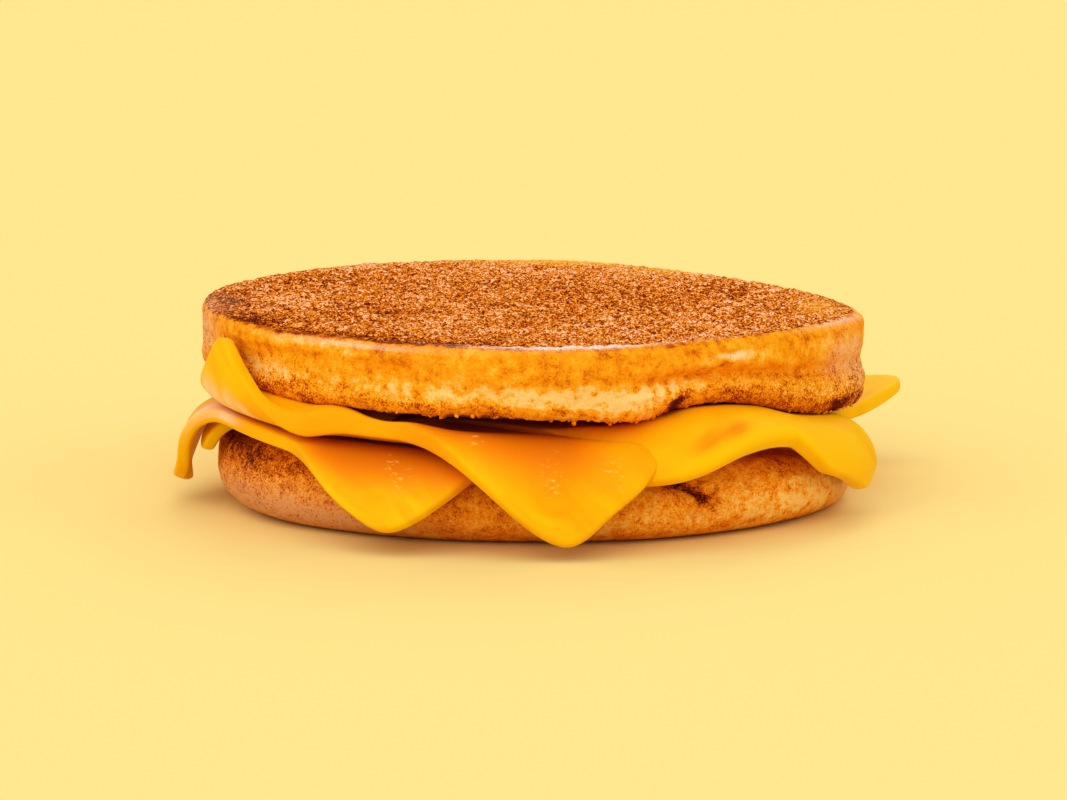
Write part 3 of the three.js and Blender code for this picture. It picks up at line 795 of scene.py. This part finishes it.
def drape(piece, x, y, lift, offset):
    """Lays flat points over the bread: level to its shoulder, then down the slopes, and off along the normal."""
    radius, bearing = polar(x, y)
    shoulder = shoulder_radius(bearing)
    arc = np.maximum(radius - shoulder, 0.0)
    out = np.minimum(radius, shoulder)
    height = lower_face(out, bearing) + 0.0 * out
    for step in range(BEND_STEPS):
        slope = slopes(piece, bearing, arc * (step + 0.5) / BEND_STEPS)[1]
        out = out + cosd(slope) * arc / BEND_STEPS
        height = height - sind(slope) * arc / BEND_STEPS
    down, total = slopes(piece, bearing, arc)
    out = out + lift * sind(down) + offset * sind(total)
    height = height + lift * cosd(down) + offset * cosd(total)
    return place(out, bearing, height)


def flat_cheese(piece, a, b, seed):
    """A square with soft corners, its edges a little wavy, pulled out of true."""
    power = CHEESE_CORNER_POWER
    rim = np.maximum(np.abs(a), np.abs(b))
    rounding = (np.abs(a) ** power + np.abs(b) ** power) ** (1.0 / power)
    half = (piece["side"] / 2 - CHEESE_TRIM) * rim / np.maximum(rounding, 1e-9)
    half = half + 0.2 * ease((rim - 0.8) / 0.2) * rough(np.stack([a, b, 0 * a], axis=-1), 0.3, seed=seed)
    along_a, along_b = a * half, b * half
    for at_a, at_b, by_a, by_b, spread in piece["pulls"]:
        share = hill(np.hypot(a - at_a, b - at_b), spread)
        along_a, along_b = along_a + by_a * share, along_b + by_b * share
    centre, unit_a, unit_b = (part[:, None, None] for part in cheese_axes(piece))
    return centre + along_a * unit_a + along_b * unit_b


def spots(table, a, b):
    """The sum of round hills (a, b, spread, height)."""
    total = 0.0 * a
    for at_a, at_b, spread, height in table:
        total = total + height * hill(np.hypot(a - at_a, b - at_b), spread)
    return total


# Small wrinkles in the skin of two slices of cheese: (a, b, spread, how many).
WRINKLE_SEED = 97
WRINKLES = {
    "cheese_left": [(0.75, 0.81, 0.03, 5), (0.77, 0.87, 0.03, 5)],
    "cheese_front": [
        (0.80, 0.74, 0.028, 5), (0.83, 0.77, 0.022, 4), (0.63, 0.90, 0.028, 4), (0.87, 0.42, 0.02, 3),
    ],
}


def wrinkle_height(piece, a, b):
    """Short raised folds across each wrinkled place, in millimetres, and how wrinkled the skin is there."""
    total, amount = 0.0 * a, 0.0 * a
    rng = np.random.default_rng(WRINKLE_SEED)
    for at_a, at_b, spread, count in WRINKLES.get(piece["name"], []):
        amount = amount + hill(np.hypot(a - at_a, b - at_b), spread * 1.5)
        for _ in range(count):
            da, db = np.array([a, b]) - (np.array([at_a, at_b]) + rng.normal(0, spread, 2))[:, None, None]
            angle, length = rng.uniform(-70, -20), rng.uniform(0.015, 0.03)
            along, across = da * cosd(angle) + db * sind(angle), db * cosd(angle) - da * sind(angle)
            total = total + rng.uniform(0.08, 0.2) * hill(along, length) * hill(across, length * 0.5)
    return total, amount


def cheese_sheet(index, settings, spacing):
    """One slice of cheese: two draped faces that meet in a rounded cut edge."""
    piece = CHEESES[index]
    half = piece["side"] / 2
    line = cheese_lines(half, spacing)
    a, b = np.meshgrid(line, line, indexing="ij")
    x, y = flat_cheese(piece, a, b, seed=101 + index)
    radius, bearing = polar(x, y)
    arc = radius - shoulder_radius(bearing)
    free = ease((arc + 3.0) / 8.0)
    body = cheese_thickness(piece, x, y) + squeezed_by(index, x, y)
    body = body * (1 - piece.get("melted", 0) * hill(b + 1, 0.35))
    swell = spots(piece.get("foot", []), a, b)
    uneven = rough(np.stack([x, y, 0 * x], axis=-1), 13.0, seed=109 + index)
    full = body * (1 + 0.07 * free * uneven) + settings.fullness * free + swell
    lift = stack_height(index, x, y) + (body - swell) / 2
    lift = lift - spots(piece.get("tuck", []), a, b) * ease((arc - 0.5) / 3.5)
    skin, wrinkled = wrinkle_height(piece, a, b)
    share = edge_share(half * (1 - np.maximum(np.abs(a), np.abs(b))))
    upper = drape(piece, x, y, lift, (full / 2 + skin) * share)
    lower = drape(piece, x, y, lift, -full * share / 2)

    above = np.arange(a.size).reshape(a.shape)
    inside = np.zeros(a.shape, bool)
    inside[1:-1, 1:-1] = True
    below = above.copy()
    below[inside] = a.size + np.arange(inside.sum())

    # Painted shade where the cheese comes out under the upper slice, fading out over reach.
    start, end = piece["reach"]
    deep = spans(piece["deep"], bearing) * (1 - ease((arc - start) / (end - start)))
    # Painted light: yellower and lighter where the cheese hangs free past the shoulder.
    start, end, strength = piece["yellow"]
    yellow = strength * ease((arc - start) / (end - start))
    if "tuck" in piece:
        yellow = yellow * (0.4 + 0.6 * ease((b + 0.3) / 0.5))
    streaks = rough(np.stack([a * half / 2.2, b * half / 11.0, 0 * a], axis=-1), 1.0, seed=131 + index, layers=3)
    # sheen and rosy are painted highlights on the upper and the lower face; crease adds painted shade along shadow
    # lines.
    sheen, rosy, crease = (patches(piece.get(key, []), a, b) for key in ("sheen", "rosy", "crease"))
    sides = {
        "deep": (deep + crease, deep + crease),
        "yellow": (yellow, yellow),
        "rosy": (sheen, rosy),
        "streaks": (streaks, streaks),
        "crinkle": (wrinkled, 0 * wrinkled),
    }
    masks = {key: np.concatenate([np.ravel(top), low[inside]]) for key, (top, low) in sides.items()}
    points = np.concatenate([upper.reshape(-1, 3), lower[inside]])
    return points, [grid_faces(above), grid_faces(below, flip=True)], masks


# ---- materials


def feed(tree, node, inputs):
    """Sets each named or numbered input of a node to a value, or links it to a socket."""
    for key, value in inputs.items():
        if isinstance(value, bpy.types.NodeSocket):
            tree.links.new(value, node.inputs[key])
        else:
            node.inputs[key].default_value = value
    return node


def add_node(tree, kind, inputs, **traits):
    """A new shader node with its own traits, and then its inputs."""
    node = tree.nodes.new("ShaderNode" + kind)
    for trait, value in traits.items():
        setattr(node, trait, value)
    return feed(tree, node, inputs)


def math_node(tree, operation, *values, clamp=False):
    """A Math node; each value is a number or a socket."""
    return add_node(tree, "Math", dict(enumerate(values)), operation=operation, use_clamp=clamp).outputs[0]


def times(tree, first, second, clamp=False):
    return math_node(tree, "MULTIPLY", first, second, clamp=clamp)


def weigh(tree, total, *pairs):
    """total plus each value times its weight; any of them may be a socket."""
    for value, weight in pairs:
        total = math_node(tree, "MULTIPLY_ADD", value, weight, total)
    return total


def colour_mix(tree, factor, first, second):
    """Blends two colours, each of them a colour or a socket."""
    return add_node(tree, "Mix", {0: factor, 6: first, 7: second}, data_type="RGBA").outputs[2]


def mask_values(tree, *names):
    """The piece's own masks, by name."""
    return {name: add_node(tree, "Attribute", {}, attribute_name=name).outputs["Fac"] for name in names}


def ramp(tree, factor, stops):
    """A colour ramp of (place, colour) stops."""
    node = add_node(tree, "ValToRGB", {"Fac": factor})
    elements = node.color_ramp.elements
    while len(elements) < len(stops):
        elements.new(0.5)
    for element, (at, colour) in zip(elements, stops):
        element.position = at
        element.color = rgba(colour)
    return node.outputs["Color"]


def add_bump(tree, height, strength, distance):
    """The normal of a fine relief; distance is in millimetres."""
    inputs = {"Height": height, "Strength": strength, "Distance": distance * MM}
    return add_node(tree, "Bump", inputs).outputs["Normal"]


def rgba(colour):
    return (*colour[:3], 1.0)


def noise_group(name, values, outputs, detail, roughness):
    """A new node group round a noise of its own Size: the group, its inputs, the noise and its output node."""
    group = bpy.data.node_groups.new(name, "ShaderNodeTree")
    group.interface.new_socket("Vector", in_out="INPUT", socket_type="NodeSocketVector")
    for key, value in values.items():
        group.interface.new_socket(key, in_out="INPUT", socket_type="NodeSocketFloat").default_value = value
    for key in outputs:
        group.interface.new_socket(key, in_out="OUTPUT", socket_type="NodeSocketFloat")
    start, end = group.nodes.new("NodeGroupInput").outputs, group.nodes.new("NodeGroupOutput")
    inputs = {"Vector": start["Vector"], "Scale": math_node(group, "DIVIDE", 1.0, start["Size"])}
    noise = add_node(group, "TexNoise", {**inputs, "Detail": detail, "Roughness": roughness})
    return group, start, noise.outputs["Fac"], end


def patch_group():
    """Mottle: turns a soft amount into a patch with a broken, crumbly border."""
    values = {"Amount": 0.5, "Size": 2.0, "Break": 1.0, "Softness": 0.2}
    group, start, noise, end = noise_group("Mottle", values, ["Mask"], detail=4.0, roughness=0.62)
    swing = times(group, times(group, math_node(group, "SUBTRACT", noise, 0.5), start["Break"]), 2.0)
    limits = {
        "Value": math_node(group, "ADD", start["Amount"], swing),
        "From Min": math_node(group, "SUBTRACT", 0.5, start["Softness"]),
        "From Max": math_node(group, "ADD", 0.5, start["Softness"]),
    }
    limits = add_node(group, "MapRange", limits, interpolation_type="SMOOTHSTEP")
    feed(group, end, {"Mask": limits.outputs["Result"]})
    return group


def grain_group():
    """Crumb grain: noise of one grain size, swinging both ways from 0, and its height for relief."""
    values = {"Size": 0.6, "Contrast": 2.0}
    outputs = ["Swing", "Height"]
    group, start, noise, end = noise_group("Crumb grain", values, outputs, detail=2.0, roughness=0.6)
    swing = times(group, math_node(group, "SUBTRACT", noise, 0.5), start["Contrast"])
    feed(group, end, {"Swing": swing, "Height": noise})
    return group


GROUPS = {"Mottle": patch_group, "Crumb grain": grain_group}


def add_group(tree, name, vector, **values):
    """The outputs of a shared node group, which is made once and then reused."""
    group = bpy.data.node_groups.get(name) or GROUPS[name]()
    return add_node(tree, "Group", {"Vector": vector, **values}, node_tree=group).outputs


def new_material(name):
    """An empty node material with its shader, and object coordinates in millimetres."""
    material = bpy.data.materials.new(name)
    material.use_nodes = True
    tree = material.node_tree
    tree.nodes.clear()
    shader = add_node(tree, "BsdfPrincipled", {})
    add_node(tree, "OutputMaterial", {"Surface": shader.outputs[0]})
    where = add_node(tree, "TexCoord", {}).outputs["Object"]
    sized = add_node(tree, "Mapping", {"Vector": where, "Scale": (1 / MM, 1 / MM, 1 / MM)})
    return material, tree, shader, sized.outputs["Vector"]


def side_stops(settings):
    """From burnt to pale crumb, for a slice's side."""
    colours = (settings.burnt, settings.brown, settings.crust, settings.gold, settings.crumb)
    return list(zip((0.04, 0.24, 0.52, 0.72, 0.98), colours))


def face_stops(settings):
    """From dark pits through brown, a redder orange and gold to pale pinkish peaks, for a toasted face; where the
    tone follows the relief, the dark pits are painted shade and the pale peaks painted glints.
    """
    deep_orange = mix(np.array(settings.brown), np.array(settings.crust), 0.62) * np.array([1.0, 0.72, 1.4])
    colours = (settings.burnt, settings.brown, deep_orange, settings.crust, settings.gold, settings.peak)
    return list(zip((0.09, 0.33, 0.50, 0.71, 0.87, 1.0), colours))


# Bread grains: width in millimetres and contrast. The width of "sand" comes from the settings.
GRAINS = {"broad": (7.0, 2.0), "blotch": (1.9, 2.2), "fine": (0.6, 2.6)}
SAND_CONTRAST = 3.2


def bread_material(name, settings):
    """Toasted bread: one tone from burnt through orange to pale crumb, which patches and grains push both ways."""
    material, tree, shader, where = new_material(name)
    sizes = {**GRAINS, "sand": (settings.grain_size, SAND_CONTRAST)}
    grains = [add_group(tree, "Crumb grain", where, Size=size, Contrast=much) for size, much in sizes.values()]
    broad, blotch, fine, sand = (grain["Swing"] for grain in grains)
    mask = mask_values(tree, *UPPER_MARKS, "toast", "relief", "butter")

    def laid_over(under, key, amount, colour):
        return colour_mix(tree, times(tree, mask[key], amount, clamp=True), under, rgba(colour))

    speckle = weigh(tree, 0.0, (fine, 0.6), (sand, 0.8))
    pale = times(tree, mask["pale"], weigh(tree, 0.26, (blotch, 0.42), (fine, 0.14)))
    patches = ((pale, 1.0), (mask["brown"], -0.30), (mask["burnt"], -0.55))
    tone = weigh(tree, settings.tone, (broad, 0.26), (blotch, 0.32), *patches)
    tone = weigh(tree, tone, (speckle, weigh(tree, 0.16, (mask["grainy"], 0.34))))
    grit = weigh(tree, 0.0, (fine, 0.95), (sand, 0.42))
    # On the toasted face the tone follows the relief: painted shade in the pits, painted glints on the peaks.
    face = weigh(tree, mask["relief"], (grit, 0.98), (blotch, 0.3), (mask["pale"], 0.08), (mask["burnt"], -0.3))
    toast = ramp(tree, face, face_stops(settings))
    toast = laid_over(toast, "butter", weigh(tree, 0.75, (speckle, 0.5)), settings.butter)
    colour = colour_mix(tree, mask["toast"], ramp(tree, tone, side_stops(settings)), toast)
    # Painted highlight: the pale pinkish shine over the glossy places, which are also less rough and coated.
    colour = laid_over(colour, "glossy", weigh(tree, 0.8, (speckle, 0.8)), settings.shine)
    # Painted sheen: the pale pinkish bloom colour laid over the crust.
    pink_sheen_amount = weigh(tree, settings.pink_sheen_strength, (speckle, 1.1), (blotch, 0.5))
    height = weigh(tree, grains[2]["Height"], (grains[3]["Height"], 0.6))
    inputs = {
        "Base Color": laid_over(colour, "floury", pink_sheen_amount, settings.pink_sheen),
        "Roughness": weigh(tree, settings.roughness, (speckle, 0.12), (mask["glossy"], -0.2)),
        "Coat Weight": times(tree, mask["glossy"], 0.3, clamp=True),
        "Coat Roughness": 0.3,
        "Specular IOR Level": 0.0,
        "Normal": add_bump(tree, height, settings.bump, 0.3),
    }
    feed(tree, shader, inputs)
    return material


def cheese_material(settings):
    """Melted cheese: smooth, with a soft gloss and a little translucent; painted shade, a darker orange, where it
    comes out under the bread and painted light where it hangs free.
    """
    material, tree, shader, where = new_material("melted cheese")
    mask = mask_values(tree, "yellow", "streaks", "deep", "crinkle", "rosy")
    tone = add_group(tree, "Mottle", where, Amount=0.5, Size=9.0, Break=0.8, Softness=0.5)["Mask"]
    # The painted light is stronger along the streaks.
    yellow = times(tree, mask["yellow"], weigh(tree, 0.9, (mask["streaks"], 0.5)))
    # Painted glints: short pale flecks where the skin is wrinkled.
    flat = add_node(tree, "Mapping", {"Vector": where, "Scale": (0.8, 0.8, 2.3)}).outputs["Vector"]
    painted_glints = add_group(tree, "Crumb grain", flat, Size=1.0, Contrast=9.0)["Swing"]
    painted_glints = math_node(tree, "SUBTRACT", painted_glints, 0.7, clamp=True)
    # Painted light and shade: the bright colour where the cheese hangs free, the middle and deep ones in the shade
    # under the upper slice, glints on the wrinkles and a rosy highlight.
    layers = (
        (weigh(tree, yellow, (tone, 0.14)), settings.bright),
        (times(tree, mask["deep"], 2.0, clamp=True), settings.middle),
        (math_node(tree, "MULTIPLY_ADD", mask["deep"], 2.0, -1.0, clamp=True), settings.deep),
        (times(tree, painted_glints, times(tree, mask["crinkle"], 0.65), clamp=True), settings.glint),
        (times(tree, mask["rosy"], 0.8), settings.rosy),
    )
    colour = rgba(settings.body)
    for amount, over in layers:
        colour = colour_mix(tree, amount, colour, rgba(over))
    fine = add_group(tree, "Crumb grain", where, Size=1.1, Contrast=1.0)
    inputs = {
        "Base Color": colour,
        "Roughness": weigh(tree, settings.roughness, (fine["Swing"], 0.14)),
        "Specular IOR Level": 0.02,
        "Subsurface Weight": 0.3,
        "Subsurface Radius": (1.0, 0.4, 0.03),
        "Subsurface Scale": 2.5 * MM,
        "Normal": add_bump(tree, fine["Height"], 0.15, 0.15),
    }
    feed(tree, shader, inputs)
    return material


# ---- settings


def colour_prop(name, text, value):
    limits = {"size": 3, "min": 0.0, "max": 1.0}
    return bpy.props.FloatVectorProperty(name=name, description=text, default=value, subtype="COLOR", **limits)


def number_prop(name, text, value, **more):
    return bpy.props.FloatProperty(name=name, description=text, default=value, **more)


class BreadSettings:
    """What both slices have, with the same defaults."""

    butter: colour_prop("Butter", "Smooth buttered streaks", (0.96, 0.44, 0.03))
    # The shine colour is a painted highlight.
    shine: colour_prop("Shine", "Pale pinkish shine on the rim", (0.96, 0.74, 0.62))
    bump: number_prop("Bump", "Strength of the finest relief", 0.5)
    roughness: number_prop("Roughness", "Roughness of the crust", 0.55)


class UpperBreadSettings(BreadSettings, bpy.types.PropertyGroup):
    """Sizes and colours of the upper slice."""

    burnt: colour_prop("Burnt", "Darkest toasted spots", (0.09, 0.010, 0.004))
    brown: colour_prop("Browned", "Browned edges and torn crumb", (0.40, 0.050, 0.004))
    crust: colour_prop("Crust", "Buttery golden side of the slice", (0.93, 0.30, 0.005))
    gold: colour_prop("Gold", "Lighter crust", (0.97, 0.45, 0.016))
    crumb: colour_prop("Crumb", "Pale inner bread that shows at the side", (0.98, 0.66, 0.24))
    # The peaks' colour is a painted glint on the raised grains of the toasted face.
    peak: colour_prop("Peaks", "Palest grains of the toasted face", (1.0, 0.62, 0.52))
    # The bloom colour is a painted pinkish sheen.
    pink_sheen: colour_prop("Bloom", "Floury, greasy sheen", (0.93, 0.55, 0.30))
    pink_sheen_strength: number_prop("Bloom share", "Strength of the bloom", 0.65)
    tone: number_prop("Tone", "Paler above 0.5, browner below", 0.56)
    grain: number_prop("Grain height", "Relief of the toasted face", 1.0)
    grain_size: number_prop("Grain size", "Width of a fine speck, millimetres", 0.3)


class LowerBreadSettings(BreadSettings, bpy.types.PropertyGroup):
    """Sizes and colours of the lower slice."""

    burnt: colour_prop("Burnt", "Darkest creases", (0.05, 0.005, 0.002))
    brown: colour_prop("Browned", "Dark browned crust", (0.30, 0.042, 0.002))
    crust: colour_prop("Crust", "Toasted orange-brown side of the slice", (0.84, 0.215, 0.004))
    gold: colour_prop("Gold", "Lighter crust", (0.94, 0.37, 0.016))
    crumb: colour_prop("Crumb", "Paler toasted crumb", (0.97, 0.60, 0.16))
    peak: colour_prop("Peaks", "Palest grains of the toasted face", (0.95, 0.55, 0.30))
    # The bloom colour is a painted pinkish sheen.
    pink_sheen: colour_prop("Bloom", "Floury, greasy sheen", (0.69, 0.36, 0.18))
    pink_sheen_strength: number_prop("Bloom share", "Strength of the bloom", 0.7)
    tone: number_prop("Tone", "Paler above 0.5, browner below", 0.62)
    grain_size: number_prop("Grain size", "Width of a fine speck, millimetres", 0.28)


class CheeseSettings(bpy.types.PropertyGroup):
    """Sizes and colours of the cheese."""

    # The bright colour is painted light, the middle and deep ones painted shade, and the rosy one and the glints
    # painted highlights.
    bright: colour_prop("Bright", "Yellow, thinly hanging cheese", (0.98, 0.54, 0.003))
    body: colour_prop("Body", "Main colour of the cheese", (0.95, 0.345, 0.002))
    middle: colour_prop("Middle", "Cheese on its way out from the bread", (0.80, 0.20, 0.002))
    deep: colour_prop("Deep", "Cheese where it comes out from the bread", (0.42, 0.06, 0.0015))
    rosy: colour_prop("Rosy", "Pale pinkish sheen under a curl", (1.0, 0.70, 0.42))
    glint: colour_prop("Glints", "Pale flecks on the wrinkles", (1.0, 0.70, 0.15))
    roughness: number_prop("Roughness", "Roughness of the melted skin", 0.4)
    fullness: number_prop("Fullness", "Extra thickness where the cheese hangs, in millimetres", 0.1)


class StageSettings(bpy.types.PropertyGroup):
    """Floor, lights and camera."""

    floor: colour_prop("Floor", "Plain pale floor", (0.95, 0.74, 0.265))
    distance: number_prop("Distance", "From the camera to the sandwich", 0.65, unit="LENGTH")
    down: number_prop("Down angle", "How far the camera looks down", math.radians(9.984), subtype="ANGLE")
    lens: number_prop("Lens", "Focal length in millimetres", 117.02)
    light: number_prop("Light", "Strength of all the lamps", 1.0)


# ---- operators

AROUND = (480, 860)
UPPER_STEPS, LOWER_STEPS, FACE_LINES, CHEESE_SPACING = (30, 56), (30, 60), (180, 278), (1.2, 0.55)


def cut(quick_and_full):
    return quick_and_full[1]


class SANDWICH_OT_upper_bread(bpy.types.Operator):
    """Builds the upper slice: its crumb body, its toasted crust and the crumbs along its torn edge"""

    bl_idname = "sandwich.upper_bread"
    bl_label = "Upper slice"

    def execute(self, context):
        settings = context.scene.sandwich_upper
        material = bread_material("upper toasted bread", settings)
        pieces = {
            "upper_slice_body": upper_body(cut(AROUND), cut(UPPER_STEPS)),
            "upper_slice_toasted_crust": toast_cap(settings, cut(FACE_LINES)),
            "upper_slice_edge_crumbs": edge_crumbs(),
        }
        for name, parts in pieces.items():
            make_piece(name, *parts, material, "toasted_bread_upper", "bread_upper")
        return {"FINISHED"}


class SANDWICH_OT_lower_bread(bpy.types.Operator):
    """Builds the lower slice"""

    bl_idname = "sandwich.lower_bread"
    bl_label = "Lower slice"

    def execute(self, context):
        material = bread_material("lower toasted bread", context.scene.sandwich_lower)
        body = lower_body(cut(AROUND), cut(LOWER_STEPS))
        make_piece("lower_slice", *body, material, "toasted_bread_lower", "bread_lower")
        return {"FINISHED"}


class SANDWICH_OT_cheese(bpy.types.Operator):
    """Builds the four slices of melted cheese"""

    bl_idname = "sandwich.cheese"
    bl_label = "Cheese slices"

    def execute(self, context):
        settings = context.scene.sandwich_cheese
        material = cheese_material(settings)
        for index, piece in enumerate(CHEESES):
            sheet = cheese_sheet(index, settings, cut(CHEESE_SPACING))
            make_piece("melted_" + piece["name"], *sheet, material, "melted_cheese", piece["name"])
        return {"FINISHED"}


FLOOR_HALF = 6.0
LAMP_AWAY, LAMP_UP = 0.4, 0.5
LAMP_COLOUR = (1.0, 0.97, 0.94)
SKY_COLOUR, SKY_STRENGTH = (1.0, 0.97, 0.92), 0.50
# Broad studio lights: (name, bearing, climb, spread, strength).
LAMPS = [
    ("light over the front", -108, 52, 75, 1.50),
    ("light behind", 80, 42, 40, 0.62),
    ("light at the right", -20, 30, 50, 0.40),
    ("light at the left", -165, 30, 60, 0.30),
]


class SANDWICH_OT_stage(bpy.types.Operator):
    """Builds the floor, the lights and the camera"""

    bl_idname = "sandwich.stage"
    bl_label = "Stage"

    def execute(self, context):
        scene, settings = context.scene, context.scene.sandwich_stage
        mesh = bpy.data.meshes.new("floor")
        corners = [(x * FLOOR_HALF, y * FLOOR_HALF, 0) for x, y in ((-1, -1), (1, -1), (1, 1), (-1, 1))]
        mesh.from_pydata(corners, [], [(0, 1, 2, 3)])
        paint = bpy.data.materials.new("floor paint")
        paint.use_nodes = True
        inputs = {"Base Color": rgba(settings.floor), "Roughness": 0.9, "Specular IOR Level": 0.0}
        feed(paint.node_tree, paint.node_tree.nodes["Principled BSDF"], inputs)
        mesh.materials.append(paint)
        floor = bpy.data.objects.new("floor", mesh)
        scene.collection.objects.link(floor)

        world = bpy.data.worlds.new("studio")
        world.use_nodes = True
        inputs = {"Color": rgba(SKY_COLOUR), "Strength": SKY_STRENGTH * settings.light}
        feed(world.node_tree, world.node_tree.nodes["Background"], inputs)
        scene.world = world
        for name, bearing, climb, spread, power in LAMPS:
            lamp = bpy.data.lights.new(name, "SUN")
            lamp.angle = math.radians(spread)
            lamp.energy = power * settings.light
            lamp.color = LAMP_COLOUR
            holder = bpy.data.objects.new(name, lamp)
            scene.collection.objects.link(holder)
            holder.location = place(LAMP_AWAY, bearing, LAMP_UP)
            holder.rotation_euler = (math.radians(90 - climb), 0.0, math.radians(bearing + 90))

        lens = bpy.data.cameras.new("camera")
        lens.lens = settings.lens
        lens.sensor_width = 36.0
        lens.clip_start = 0.01
        camera = bpy.data.objects.new("camera", lens)
        scene.collection.objects.link(camera)
        x, y, z = (value * MM for value in LOOK_AT)
        reach = settings.distance
        camera.location = (x, y - reach * math.cos(settings.down), z + reach * math.sin(settings.down))
        camera.rotation_euler = (math.pi / 2 - settings.down, 0.0, 0.0)
        scene.camera = camera
        scene.view_settings.view_transform = "Standard"
        return {"FINISHED"}


class SANDWICH_PT_panel(bpy.types.Panel):
    """Lists the steps that build the sandwich"""

    bl_idname = "SANDWICH_PT_panel"
    bl_label = "Grilled cheese sandwich"
    bl_space_type = "VIEW_3D"
    bl_region_type = "UI"
    bl_category = "Sandwich"

    def draw(self, context):
        for step in STEPS:
            self.layout.operator(step.bl_idname)


STEPS = (SANDWICH_OT_stage, SANDWICH_OT_lower_bread, SANDWICH_OT_cheese, SANDWICH_OT_upper_bread)
SETTINGS = {
    "sandwich_upper": UpperBreadSettings,
    "sandwich_lower": LowerBreadSettings,
    "sandwich_cheese": CheeseSettings,
    "sandwich_stage": StageSettings,
}


def register():
    for group in (*SETTINGS.values(), *STEPS, SANDWICH_PT_panel):
        bpy.utils.register_class(group)
    for name, group in SETTINGS.items():
        setattr(bpy.types.Scene, name, bpy.props.PointerProperty(type=group))


def unregister():
    for name in SETTINGS:
        delattr(bpy.types.Scene, name)
    for group in (SANDWICH_PT_panel, *reversed(STEPS), *SETTINGS.values()):
        bpy.utils.unregister_class(group)


def main():
    register()
    bpy.ops.sandwich.stage()
    bpy.ops.sandwich.lower_bread()
    bpy.ops.sandwich.cheese()
    bpy.ops.sandwich.upper_bread()


if __name__ == "__main__":
    main()
